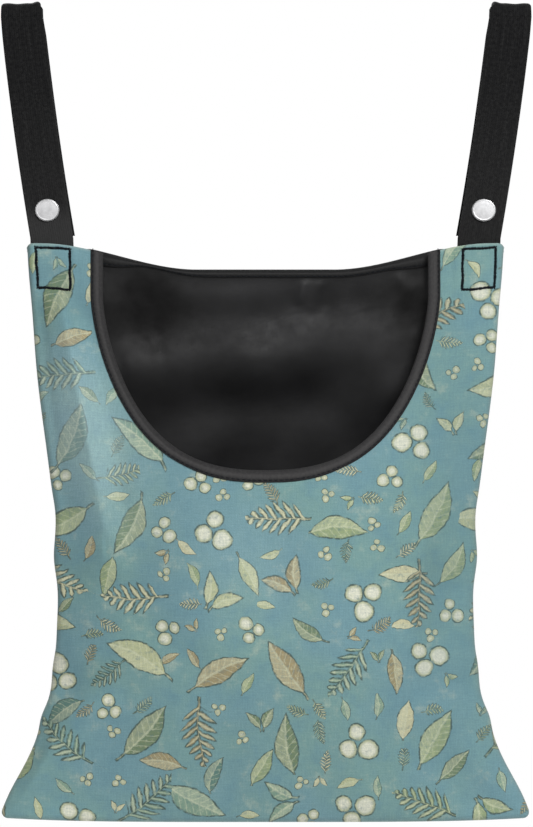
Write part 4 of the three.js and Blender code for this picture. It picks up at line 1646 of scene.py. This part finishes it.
    def hem_path(self) -> Array:
        """Gives the top edge of the back, from left to right."""
        half = float(self.shape.outline(0.0)) - self.hem_inset
        return stacked(np.linspace(-half, half, 240), 0.0)

    def hem_share(self, x: Array) -> Array:
        """Gives the share of the tape's width that shows inside the back's top edge."""
        return self.shape.hem_width(x) / self.tape_width

    def back_hem(self) -> Object:
        """Makes the tape along the top edge of the back."""
        return self.tape("back_hem", self.back, self.hem_path(), self.hem_share, Ripple(43, 0.1, 34.0))

    def surface_row(self, side: ClothSide, path: Array, rise: float) -> tuple[Array, Array]:
        """Gives a row of places just over the cloth and the way up there.

        Args:
            side: The side of the pouch.
            path: Places [x, depth] along the row.
            rise: Height over the cloth's outer face.

        Returns:
            Places and unit directions away from the cloth.
        """
        step = 0.6
        x, depth = path[:, 0], path[:, 1]
        height = side.outer(x, depth)
        slope_x = (side.outer(x + step, depth) - side.outer(x - step, depth)) / (2 * step)
        slope_d = (side.outer(x, depth + step) - side.outer(x, depth - step)) / (2 * step)
        up = stacked(-slope_x, side.face.value, slope_d)
        up = up / np.linalg.norm(up, axis=1, keepdims=True)
        return side.place(x, depth, height + rise), up

    def build(self) -> dict[str, Object]:
        """Makes and dresses the pouch's cloth and tapes.

        Returns:
            The pieces by name.
        """
        finishes = self.finishes
        pieces = (
            (self.front_cloth(), finishes.printed, "front_panel"),
            (self.back_cloth(), finishes.printed, "back_panel"),
            (self.lining(self.front, "front_satin"), finishes.lining, "front_lining"),
            (self.lining(self.back, "back_satin"), finishes.lining, "back_lining"),
            (self.mouth_binding(), finishes.tape, "scoop_binding"),
            # the back's hem takes the binding tape darkened as painted shade
            (self.back_hem(), finishes.hem, "back_top_binding"),
        )
        return {piece.name: dress(piece, finish, [node], "bag") for piece, finish, node in pieces}

    def declare_sheets(self) -> None:
        width = 2 * float(self.shape.outline(self.shape.height - self.shape.corner_round)) * MM
        whole = self.shape.flat_area(False)
        scooped = self.shape.flat_area(True)


@dataclass
class StitchRows:
    """Rows of stitches, set along paths by one tree of geometry nodes."""

    finishes: Finishes
    plain: tuple[float, float, float] = (2.6, 0.24, 0.3)
    satin: tuple[float, float, float] = (1.9, 0.42, 0.3)
    fine: tuple[float, float, float] = (2.4, 0.2, 0.1)
    tape_pitch: float = 3.1
    seam_pitch: float = 2.8
    seam_inset: float = 0.95
    box_pitch: float = 0.85
    box_turn: float = 66.0
    box_unevenness: float = 0.2
    box_rise: float = 0.2
    seed: int = 7
    tree: NodeTree = field(init=False)

    def __post_init__(self) -> None:
        """Builds the tree."""
        inputs = {
            "Path": "NodeSocketGeometry",
            "Stitch": "NodeSocketObject",
            "Pitch": "NodeSocketFloat",
            "Turn": "NodeSocketFloat",
            "Unevenness": "NodeSocketFloat",
            "Seed": "NodeSocketInt",
            "Thread": "NodeSocketMaterial",
        }
        graph, given = node_group("stitch_row", "GeometryNodeTree", inputs, {"Row": "NodeSocketGeometry"})
        self.tree = graph.tree
        curve = graph.node("GeometryNodeMeshToCurve", {"Mesh": given["Path"]}).outputs[0]
        spacing = {"Curve": curve, "Length": given["Pitch"]}
        points = graph.node("GeometryNodeResampleCurve", spacing, mode="LENGTH").outputs[0]
        tangent = graph.node("GeometryNodeInputTangent").outputs[0]
        along = graph.node("FunctionNodeAlignRotationToVector", {"Vector": tangent}, axis="X").outputs[0]
        up = graph.node("GeometryNodeInputNamedAttribute", {"Name": "up"}, data_type="FLOAT_VECTOR")
        aligned = {"Rotation": along, "Vector": up.outputs[0]}
        upright = graph.node("FunctionNodeAlignRotationToVector", aligned, axis="Z", pivot_axis="X")
        most = given["Unevenness"]
        limits = {"Min_001": graph.math("MULTIPLY", most, -1.0), "Max_001": most, "Seed": given["Seed"]}
        chance = graph.node("FunctionNodeRandomValue", limits, data_type="FLOAT")
        uneven = socket_of(chance.outputs, "Value_001")
        slant = {"Axis": (0.0, 0.0, 1.0), "Angle": graph.math("ADD", given["Turn"], uneven)}
        turn = graph.node("FunctionNodeAxisAngleToRotation", slant).outputs[0]
        both = {"Rotation": upright.outputs[0], "Rotate By": turn}
        turned = graph.node("FunctionNodeRotateRotation", both, rotation_space="LOCAL").outputs[0]
        source = {"Object": given["Stitch"]}
        stitch = graph.node("GeometryNodeObjectInfo", source, transform_space="ORIGINAL")
        placing = {
            "Points": points,
            "Instance": stitch.outputs["Geometry"],
            "Rotation": turned,
            "Scale": graph.math("MULTIPLY_ADD", uneven, 0.5, 1.0),
        }
        placed = graph.node("GeometryNodeInstanceOnPoints", placing).outputs[0]
        real = graph.node("GeometryNodeRealizeInstances", {0: placed}).outputs[0]
        painted = graph.node("GeometryNodeSetMaterial", {"Geometry": real, "Material": given["Thread"]})
        graph.node("NodeGroupOutput", {0: painted.outputs[0]})

    def stitch(self, length: float, radius: float, arch: float) -> Object:
        """Makes one stitch, a bowed length of thread along X whose ends dip into the cloth.

        Args:
            length: Length of the stitch.
            radius: Radius of the thread.
            arch: Height of its middle over its ends.

        Returns:
            The stitch, for the rows to repeat.
        """
        shares = np.linspace(-1, 1, 7)
        turns = circle(6)
        rings = []
        for share in shares:
            thick = radius * math.sqrt(max(0.12, 1 - abs(share) ** 3))
            lift = arch * (1 - share * share) - 0.3 * arch
            ring = stacked(share * length / 2, thick * np.cos(turns), lift + thick * np.sin(turns))
            rings.append(ring)
        start = np.array([[0, 3, 2, 1], [0, 5, 4, 3]])
        end = np.array([[0, 1, 2, 3], [0, 3, 4, 5]]) + (len(shares) - 1) * len(turns)
        faces = np.concatenate([tube_faces(len(shares), len(turns)), start, end])
        return mesh_object("stitch", np.concatenate(rings), faces)

    def row(
        self,
        name: str,
        rows: Sequence[tuple[Array, Array]],
        stitch: Object,
        pitch: float,
        turn: float = 0.0,
        unevenness: float = 0.05,
        closed: bool = False,
    ) -> Object:
        """Sews rows of stitches into one piece.

        Args:
            name: Name of the piece.
            rows: Places and ways up along each row, in millimetres.
            stitch: The stitch to repeat.
            pitch: Distance from one stitch to the next.
            turn: Angle in degrees from the row to each stitch.
            unevenness: Largest random turn, in radians.
            closed: Whether each row ends where it starts.

        Returns:
            The stitches as one mesh.
        """
        points, ups, edges = [], [], []
        start = 0
        for places, up in rows:
            points += (places * MM).tolist()
            ups.append(up)
            edges += [(start + i, start + i + 1) for i in range(len(places) - 1)]
            if closed:
                edges.append((start + len(places) - 1, start))
            start += len(places)
        mesh = bpy.data.meshes.new(name + "_path")
        mesh.from_pydata(points, edges, [])
        held = mesh.attributes.new("up", "FLOAT_VECTOR", "POINT")
        held.data.foreach_set("vector", np.concatenate(ups).astype(np.float32).ravel())
        carrier = add_object(name + "_path", mesh)
        modifier = carrier.modifiers.new("stitches", "NODES")
        modifier.node_group = self.tree
        values = {
            "Stitch": stitch,
            "Pitch": pitch * MM,
            "Turn": math.radians(turn),
            "Unevenness": unevenness,
            "Seed": self.seed,
            "Thread": self.finishes.thread.material,
        }
        for item in self.tree.interface.items_tree:
            if item.in_out == "INPUT" and item.name in values:
                modifier[item.identifier] = values[item.name]
        carrier.update_tag()
        graph = bpy.context.evaluated_depsgraph_get()
        sewn = bpy.data.meshes.new_from_object(carrier.evaluated_get(graph))
        sewn.name = name
        bpy.data.objects.remove(carrier)
        bpy.data.meshes.remove(mesh)
        return add_object(name, sewn)

    def on_pouch(self, pouch: Pouch) -> dict[str, Object]:
        """Sews the mouth's binding, the hem, the outer seam and the strap ends.

        Args:
            pouch: The pouch.

        Returns:
            The pieces by name.
        """
        plain, satin, fine = (self.stitch(*sizes) for sizes in (self.plain, self.satin, self.fine))
        inset = pouch.tape_width - pouch.stitch_from_edge
        mouth = pouch.shape.mouth_path()
        mouth_row = mouth + path_normals(mouth) * inset
        groove_rise = (pouch.groove_share - 0.04) * pouch.tape_rise
        front_row = pouch.surface_row(pouch.front, mouth_row, groove_rise)
        inside_row = self.other_face(pouch.surface_row(pouch.front, mouth_row, -pouch.stack - groove_rise))
        hem = pouch.hem_path()[3:-3]
        outside = pouch.surface_row(pouch.back, hem + (0, inset), groove_rise)
        lower = stacked(hem[:, 0], inset * pouch.hem_share(hem[:, 0]))
        inside = self.other_face(pouch.surface_row(pouch.back, lower, -pouch.stack - groove_rise))
        rows = {
            "mouth": ("scoop_binding", [front_row, inside_row], plain, self.tape_pitch),
            "hem": ("back_top", [outside, inside], plain, self.tape_pitch),
            "seam": ("outer_seam", [self.seam_row(pouch)], fine, self.seam_pitch),
        }
        for hand in Hand:
            box = f"{hand.word}_box"
            sewing = (satin, self.box_pitch, self.box_turn, self.box_unevenness, True)
            rows[box] = (box, [self.box_row(pouch, hand)], *sewing)
        made = {}
        for name, (node, *sewing) in rows.items():
            piece = self.row(f"{name}_stitches", *sewing)
            made[piece.name] = dress(piece, self.finishes.thread, [f"{node}_stitching"], "bag")
        for stitch in (plain, satin, fine):
            bpy.data.objects.remove(stitch)
        return made

    def other_face(self, row: tuple[Array, Array]) -> tuple[Array, Array]:
        """Turns a row to face the other way."""
        return row[0], -row[1]

    def seam_row(self, pouch: Pouch) -> tuple[Array, Array]:
        """Gives the row of the seam that joins front and back.

        Args:
            pouch: The pouch.

        Returns:
            Places and ways up along the seam.
        """
        shape = pouch.shape
        depth = np.linspace(1.5, shape.height - 4.5, 240)
        side = stacked(-(shape.outline(depth) - self.seam_inset), depth)
        across = np.linspace(-float(shape.outline(shape.height)), 0, 60)
        path = both_halves(np.concatenate([side, stacked(across, shape.height - self.seam_inset)]))
        into = path_normals(path)
        up = stacked(-into[:, 0], 0.0, into[:, 1])
        return pouch.front.place(path[:, 0], path[:, 1], 0.0), up

    def box_row(self, pouch: Pouch, hand: Hand) -> tuple[Array, Array]:
        """Gives the rectangle of stitches that holds a strap's sewn end.

        Args:
            pouch: The pouch.
            hand: Which strap.

        Returns:
            Places and ways up round the rectangle.
        """
        sewn = pouch.sewn
        corners = np.array(sewn.left_box if hand is Hand.LEFT else sewn.right_box)
        corners = np.concatenate([corners, corners[:1]])
        run = path_run(corners)
        along = np.linspace(0, run[-1], 181)[:-1]
        wander = Ripple(61 + hand.value, 0.2, 9.0)
        x = np.interp(along, run, corners[:, 0]) + wander.at(along, np.zeros_like(along))
        fall = np.interp(along, run, corners[:, 1]) + wander.at(np.zeros_like(along), along)
        z = pouch.shape.top_z - fall
        path = stacked(x, pouch.shape.depth_at(x, z))
        return pouch.surface_row(pouch.front, path, self.box_rise)


@dataclass
class Strap:
    """One strap: webbing sewn to the pouch, looped over a line and closed by a snap."""

    hand: Hand
    pouch: Pouch
    finishes: Finishes
    width: float = 25.0
    thick: float = 1.4
    loop_radius: float = 6.7
    loop_spacing: float = 284.0
    seam_spacing: float = 248.0
    drop: float = 128.0
    bow: float = 1.0
    leg_y: float = -2.85
    tail_end: float = 1.6
    tail_step: float = 1.0
    tab_lean: float = 0.035
    tab_end: float = -30.0
    snap_rise: float = 16.3
    straight_above_snap: float = 9.0
    loop_upright: float = 30.0
    loop_nick: float = 1.1
    crown_gap: float = 0.008
    # how much lighter the left strap's front grows just below its snap
    end_rub: float = 0.45
    left_sway: float = 0.8

    def centre(self, rise: Array) -> tuple[Array, Array, Array]:
        """Gives the strap's middle line.

        Args:
            rise: Heights above the fold at the pouch's top.

        Returns:
            X and z of the middle line, and the lean of the strap there in radians.
        """
        share = np.clip(rise / self.drop, 0, 1)
        spread = (self.loop_spacing - self.seam_spacing) / 2
        sway = self.left_sway * share if self.hand is Hand.LEFT else 0.0
        splay = spread * share + self.bow * 4 * share * (1 - share) + self.tab_lean * np.minimum(0, rise)
        upright = smoothstep(self.drop - self.loop_upright, self.drop, rise)
        lean = math.atan((spread - 4 * self.bow) / self.drop) * share * (1 - upright)
        return sway - self.seam_spacing / 2 - splay, rise - self.drop, lean

    def run_y(self, straight: float, loop: float, rise: Array) -> Array:
        """Gives the y of a run between the snap and the loop."""
        share = smoothstep(self.snap_rise + self.straight_above_snap, self.drop, rise)
        return straight + (loop - straight) * share

    def across(self) -> Array:
        """Gives the places across the webbing, closer together at its edges.

        Returns:
            Places from one edge to the other.
        """
        half = self.width / 2
        edge = half - np.array([0.0, 0.12, 0.3, 0.6, 1.1])
        return np.concatenate([-edge, np.linspace(2 - half, half - 2, 19), edge[::-1]])

    def webbing(self, parts: dict[str, slice], y: Array, rise: Array, step: Array) -> list[Object]:
        """Makes a length of webbing.

        Args:
            parts: Names of its pieces, and the stations that each one has.
            y: Y of the middle line at each station, or of each place across it.
            rise: Height of each station above the fold.
            step: Sideways step of each station.

        Returns:
            The new objects.
        """
        half_width = self.width / 2
        across = self.across()
        round_off = np.maximum(0.08, roll((half_width - np.abs(across)) / 0.75))
        y = y if y.ndim == 2 else np.repeat(y[:, None], len(across), axis=1)
        middle = y[:, len(across) // 2]
        run = stacked(np.gradient(middle), np.gradient(rise))
        run = run / np.linalg.norm(run, axis=1, keepdims=True)
        length = np.hypot(np.diff(middle), np.diff(rise))
        along = np.concatenate([[0], np.cumsum(length)]) + rise[0]
        top = smoothstep(self.drop - 6, self.drop + self.loop_radius, rise)
        gather = smoothstep(self.drop - 12, self.drop + 4, rise)[:, None] * np.where(across > 0, 0.06, 0.025)
        nick = smoothstep(self.drop + 4.3, self.drop + 5.2, rise)[:, None] * smoothstep(2.0, 12.5, across)
        crest = 1.1 + 1.3 * np.exp(-(((across - 10.0) / 3.2) ** 2))
        crest = crest - 0.6 * smoothstep(11.0, 12.5, np.abs(across)) + 0.2 * np.sin(across * 0.55)
        faces = []
        for side in (-1, 1):
            out = side * self.thick / 2 * round_off[None, :]
            x, z, lean = self.centre(rise[:, None] - out * run[:, :1])
            reach = across[None, :] * (1 - gather) - self.loop_nick * nick + step[:, None]
            z = z + np.sin(lean) * reach + top[:, None] * crest[None, :]
            x = -self.hand.value * (x + np.cos(lean) * reach)
            faces.append(stacked(x, y + out * run[:, 1:], z))
        uv = stacked(across[None, :], along[:, None]) * MM
        worn_and_painted_light = np.broadcast_to(np.exp(-(half_width - np.abs(across))[None, :] / 0.6), y.shape)
        # the left strap's front is made lighter towards its lower end, just below the snap
        low_front = smoothstep(22.0, 7.0, rise)[:, None] * (y < 0)
        rub = self.end_rub * low_front if self.hand is Hand.LEFT else np.zeros_like(y)
        made = []
        for name, span in parts.items():
            marks = {"wear": worn_and_painted_light[span], "rub": rub[span]}
            made.append(shell_object(name, faces[1][span], faces[0][span], uv[span], marks))
        return made

    def sewn_end(self) -> Object:
        """Makes the lower length, from its sewn end up to the snap.

        Returns:
            The new object.
        """
        rise = np.concatenate([np.linspace(self.tab_end, -3, 28), np.linspace(-3, self.snap_rise, 36)[1:]])
        x, z, _ = self.centre(rise)
        place_x = x[:, None] + self.across()
        side = self.pouch.front
        depth = np.maximum(0, self.pouch.shape.depth_at(place_x, z[:, None]))
        under = side.body(place_x, depth) - side.cloth - 0.3 - self.thick / 2
        inside = self.pouch.shape.middle_y - under
        share = smoothstep(-3.0, -9.0, rise)[:, None]
        y = self.leg_y * (1 - share) + np.minimum(inside, self.leg_y + 1.2) * share
        return self.webbing({f"{self.hand.word}_webbing_end": slice(None)}, y, rise, np.zeros_like(rise))[0]

    def loop(self) -> list[Object]:
        """Makes the upper length: the leg from the snap up, the crown over the line, and the tail.

        Returns:
            The leg, the crown and the tail.
        """
        up = np.linspace(self.snap_rise, self.drop, 64)
        leg = stacked(self.run_y(self.leg_y, -self.loop_radius, up), up)
        turn = np.linspace(self.crown_gap, math.pi - self.crown_gap, 37)
        arc = stacked(-self.loop_radius * np.cos(turn), self.drop + self.loop_radius * np.sin(turn))
        down = np.linspace(self.drop, self.tail_end, 74)
        tail = stacked(self.run_y(-self.leg_y, self.loop_radius, down), down)
        route = np.concatenate([leg, arc, tail])
        step = np.concatenate([np.zeros(len(leg) + len(turn)), self.tail_step * (1 - down / self.drop)])
        calm = smoothstep(self.snap_rise + 14, self.snap_rise + 40, route[:, 1])
        wave = Ripple(71 + self.hand.value, 0.35, 44.0).at(route[:, 1], 3 * route[:, 0]) * calm
        over, under = len(leg), len(leg) + len(turn)
        spans = {"leg": slice(0, over), "crown": slice(over, under), "tail": slice(under, len(route))}
        parts = {f"{self.hand.word}_webbing_{name}": span for name, span in spans.items()}
        return self.webbing(parts, route[:, 0] + wave, route[:, 1], step)

    def build(self) -> None:
        """Makes and dresses the strap's pieces of webbing."""
        word = self.hand.word
        x, z, _ = self.centre(np.array(0.0))
        x = -self.hand.value * float(x)
        finish = self.finishes.webbing
        end = dress(self.sewn_end(), finish, [f"{word}_strap_tab", f"{word}_strap_leg"])
        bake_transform(end)
        leg, crown, tail = self.loop()
        dress(leg, finish, [f"{word}_strap_leg"], f"{word}_strap")
        dress(crown, finish, [f"{word}_strap_tail"])
        dress(tail, finish, [f"{word}_strap_tail"], f"{word}_tail")
        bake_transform(crown)


@dataclass
class Snap:
    """One snap fastener: cap, socket and spring on the leg, stud and eyelet on the tail."""

    strap: Strap
    finishes: Finishes
    segments: int = 64
    cap_radius: float = 7.0
    cap_crown: float = 2.4
    cap_rim: float = 0.7
    cap_tall: float = 0.93
    post_radius: float = 2.0
    socket_radius: float = 6.25
    cavity_radius: float = 3.2
    spring_radius: float = 3.8
    spring_wire: float = 0.6
    spring_gap: float = 70.0
    spring_y: float = -0.1
    stud_radius: float = 2.9
    flange_radius: float = 6.0
    eyelet_radius: float = 5.0

    def middle(self) -> Array:
        """Gives the place of the snap's axis on the plane between leg and tail."""
        x, z, _ = self.strap.centre(np.array(self.strap.snap_rise))
        return np.array([-self.strap.hand.value * float(x), 0.0, float(z)])

    def turned(self, name: str, profile: Sequence[Spot], tall: float = 1.0) -> Object:
        """Makes a turned piece about the snap's axis.

        Args:
            name: Name of the piece.
            profile: Places [radius, y], from one end of the section to the other.
            tall: Its height as a share of its width.

        Returns:
            The new object.
        """
        turns = circle(self.segments)
        rings = []
        for radius, y in profile:
            radius = max(radius, 0.02)
            rings.append(stacked(radius * np.cos(turns), y, tall * radius * np.sin(turns)))
        points = np.concatenate(rings) + self.middle()
        faces = tube_faces(len(profile), self.segments, closed=True)
        return mesh_object(f"{self.strap.hand.word}_{name}", points, faces, crease=38.0)

    def rounded(self, radius: float, y: float, bend: float, steps: int) -> list[Spot]:
        """Gives the rounded edge of a turned piece, from its side at a radius to its end at y."""
        turns = np.linspace(0, math.pi / 2, steps)
        return [(radius - bend + bend * math.cos(turn), y - bend + bend * math.sin(turn)) for turn in turns]

    def cap(self) -> Object:
        """Makes the domed cap with its post.

        Returns:
            The new object.
        """
        back = -3.6
        dome = []
        tall = self.cap_crown - self.cap_rim
        for share in np.concatenate([np.linspace(0, 0.8, 10), np.linspace(0.81, 1, 22)]):
            face = 0.72 + 0.1 * (1 - share**2)
            bead = 0.04 * math.exp(-(((share - 0.92) / 0.05) ** 2))
            crown = tall * (face + bead) * math.sqrt(1 - float(np.clip((share - 0.95) / 0.05, 0, 1)) ** 2)
            dome.append(((self.cap_radius - 0.25) * float(share), back - self.cap_rim - crown))
        rim = []
        for angle in np.linspace(-math.pi / 2, math.pi / 2, 9)[1:]:
            radius = self.cap_radius - 0.25 + 0.25 * math.cos(angle)
            rim.append((radius, back - 0.35 + 0.35 * math.sin(angle)))
        post = [(self.post_radius, back), (self.post_radius, -1.5), (0.0, -1.5)]
        return self.turned("snap_dome", dome + rim + post, tall=self.cap_tall)

    def socket(self) -> Object:
        """Makes the socket behind the leg, with its cavity and its groove for the spring.

        Returns:
            The new object.
        """
        front, rear = -2.1, 0.75
        edge = self.socket_radius
        lip = self.rounded(edge, rear, 0.5, 6)
        ridge = [(4.9, rear), (4.7, rear - 0.25), (4.3, rear - 0.25), (4.1, rear)]
        wall = self.cavity_radius
        cavity = [(wall + 0.15, rear), (wall, rear - 0.15), (wall, 0.35)]
        groove = [(4.4, 0.35), (4.4, -0.55), (wall, -0.55), (wall, -1.0)]
        front_face = [(2.2, front), (edge, front)]
        return self.turned("snap_ring", front_face + lip + ridge + cavity + groove + [(2.2, -1.0)])

    def spring(self) -> Object:
        """Makes the split ring of wire in the socket.

        Returns:
            The new object.
        """
        half_gap = math.radians(self.spring_gap) / 2
        along = np.linspace(half_gap, 2 * math.pi - half_gap, 49)[:, None]
        turns = circle(10)
        wire = self.spring_wire / 2
        reach = self.spring_radius + wire * np.cos(turns)
        grid = stacked(reach * np.cos(along), wire * np.sin(turns), reach * np.sin(along))
        grid = grid + self.middle() + (0, self.spring_y, 0)
        count = len(turns)
        fan = np.array([[0, i, i + 1, i + 2] for i in range(1, count - 2, 2)])
        faces = [tube_faces(len(along), count), fan[:, ::-1], fan + (len(along) - 1) * count]
        return mesh_object(f"{self.strap.hand.word}_snap_wire", grid.reshape(-1, 3), np.concatenate(faces))

    def stud(self) -> Object:
        """Makes the stud in front of the tail.

        Returns:
            The new object.
        """
        tip, flange, rear = -0.75, 1.05, 2.1
        inner, outer = self.stud_radius, self.flange_radius
        knob = []
        for angle in np.linspace(0, math.pi / 2, 8):
            knob.append((inner - 0.5 + 0.5 * math.sin(angle), tip + 0.5 - 0.5 * math.cos(angle)))
        neck = [(inner, tip + 0.7), (inner - 0.35, 0.75), (inner - 0.25, flange)]
        plate = [(outer - 0.3, flange), (outer, flange + 0.3), (outer, rear)]
        return self.turned("snap_knob", [(0.0, tip)] + knob + neck + plate + [(0.0, rear)])

    def eyelet(self) -> Object:
        """Makes the eyelet on the back of the tail.

        Returns:
            The new object.
        """
        front, rear = 3.6, 4.65
        edge = self.eyelet_radius
        rim = self.rounded(edge, rear, 0.4, 7)
        dish = [(2.9, rear), (2.4, rear - 0.18), (2.1, rear - 0.5), (1.9, rear - 0.9), (0.0, rear - 0.9)]
        return self.turned("snap_rivet", [(0.0, 0.2), (1.9, 0.2), (1.9, front), (edge, front)] + rim + dish)

    def build(self) -> None:
        """Makes and dresses the snap's five pieces."""
        word = self.strap.hand.word
        leg, tail = f"{word}_strap", f"{word}_tail"
        dress(self.cap(), self.finishes.cap, [f"{word}_snap_cap"], leg)
        dress(self.socket(), self.finishes.snap, [f"{word}_snap_socket"], leg)
        dress(self.spring(), self.finishes.snap, [f"{word}_snap_spring"], leg)
        dress(self.stud(), self.finishes.snap, [f"{word}_snap_stud"], tail)
        dress(self.eyelet(), self.finishes.snap, [f"{word}_snap_eyelet"], tail)


@dataclass(frozen=True)
class Lamp:
    """A soft square lamp, with its power in watts and its place in metres."""

    name: str
    place: tuple[float, float, float]
    size: float
    power: float


@dataclass(frozen=True)
class Studio:
    """Camera, soft light, white surroundings and a pale floor."""

    camera_distance: float = 3.0
    view_height: float = 0.4805
    view_centre: tuple[float, float] = (0.0006, -0.2297)
    aim: tuple[float, float, float] = (0.0, 0.0, -0.23)
    ambient: float = 0.2
    floor_z: float = -0.75
    floor_radius: float = 1.2
    lamps: tuple[Lamp, ...] = (
        Lamp("key_lamp", (0.7, -1.65, 0.85), 0.6, 46.0),
        Lamp("fill_lamp", (-1.2, -1.6, 0.35), 1.0, 5.0),
        Lamp("back_lamp", (-0.5, 1.75, 0.9), 0.9, 44.0),
    )

    def add_camera(self) -> None:
        """Sets the camera where the photograph was taken from."""
        lens = bpy.data.cameras.new("main_camera")
        lens.sensor_width = 36.0
        lens.lens = lens.sensor_width * self.camera_distance / self.view_height
        lens.clip_start = 0.05
        lens.clip_end = 20.0
        camera = add_object("main_camera", lens)
        camera.location = (self.view_centre[0], -self.camera_distance, self.view_centre[1])
        camera.rotation_euler = (math.radians(90), 0.0, 0.0)
        bpy.context.scene.camera = camera

    def add_lamps(self) -> None:
        """Sets the soft lamps, each turned to the bag."""
        for lamp in self.lamps:
            light = bpy.data.lights.new(lamp.name, "AREA")
            light.size = lamp.size
            light.energy = lamp.power
            holder = add_object(lamp.name, light)
            holder.location = lamp.place
            towards = Vector(self.aim) - Vector(lamp.place)
            holder.rotation_euler = towards.to_track_quat("-Z", "Y").to_euler()

    def seen_directly(self, graph: NodeGraph) -> NodeSocket:
        """Tells what is seen from what is only lit.

        Args:
            graph: The graph to add to.

        Returns:
            1 for what the camera, a reflection or glass sees, and 0 for other light.
        """
        path = graph.node("ShaderNodeLightPath").outputs
        seen = graph.math("MAXIMUM", path["Is Camera Ray"], path["Is Glossy Ray"])
        return graph.math("MAXIMUM", seen, path["Is Transmission Ray"])

    def add_surroundings(self) -> None:
        """Makes the world: white where it is seen, and a soft even light."""
        world = bpy.data.worlds.new("studio")
        world.use_nodes = True
        graph = NodeGraph(world.node_tree)
        plain = (1.0, 1.0, 1.0, 1.0)
        white = graph.node("ShaderNodeBackground", {"Color": plain})
        soft = graph.node("ShaderNodeBackground", {"Color": plain, "Strength": self.ambient})
        shares = {0: self.seen_directly(graph), 1: soft.outputs[0], 2: white.outputs[0]}
        both = graph.node("ShaderNodeMixShader", shares).outputs[0]
        graph.node("ShaderNodeOutputWorld", {"Surface": both})
        bpy.context.scene.world = world

    def add_floor(self) -> None:
        """Makes the pale floor below the bag."""
        radius = self.floor_radius
        rim = [(radius * math.cos(turn), radius * math.sin(turn), self.floor_z) for turn in circle(64)]
        mesh = bpy.data.meshes.new("floor")
        mesh.from_pydata(rim, [], [list(range(len(rim)))])
        floor = add_object("floor", mesh)
        pale = srgb(238, 238, 238)
        graph = MaterialGraph("pale_floor", Base_Color=pale, Roughness=0.9, Specular_IOR_Level=0.1)
        away = graph.vector("DISTANCE", graph.object_place(), (0.0, 0.0, self.floor_z / MM))
        fade = graph.step(away, 0.5 * radius / MM, 0.97 * radius / MM)
        share = graph.math("MULTIPLY", fade, self.seen_directly(graph))
        white = graph.node("ShaderNodeEmission").outputs[0]
        both = graph.node("ShaderNodeMixShader", {0: share, 1: graph.shader.outputs[0], 2: white})
        graph.feed(graph.output.inputs["Surface"], both.outputs[0])
        mesh.materials.append(graph.material)

    def build(self) -> None:
        """Makes the whole studio."""
        self.add_camera()
        self.add_lamps()
        self.add_surroundings()
        self.add_floor()
        bpy.context.scene.view_settings.view_transform = "Standard"


def main() -> None:
    """Builds the bag in its frame."""
    logging.basicConfig(level=logging.INFO, format="%(name)s %(message)s")
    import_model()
    Studio().build()
    finishes = Finishes()
    pouch = Pouch(PouchShape(), SewnEnd(), finishes)
    made = pouch.build()
    made |= StitchRows(finishes).on_pouch(pouch)
    for hand in Hand:
        strap = Strap(hand, pouch, finishes)
        strap.build()
        Snap(strap, finishes).build()
    pouch.declare_sheets()


if __name__ == "__main__":
    main()
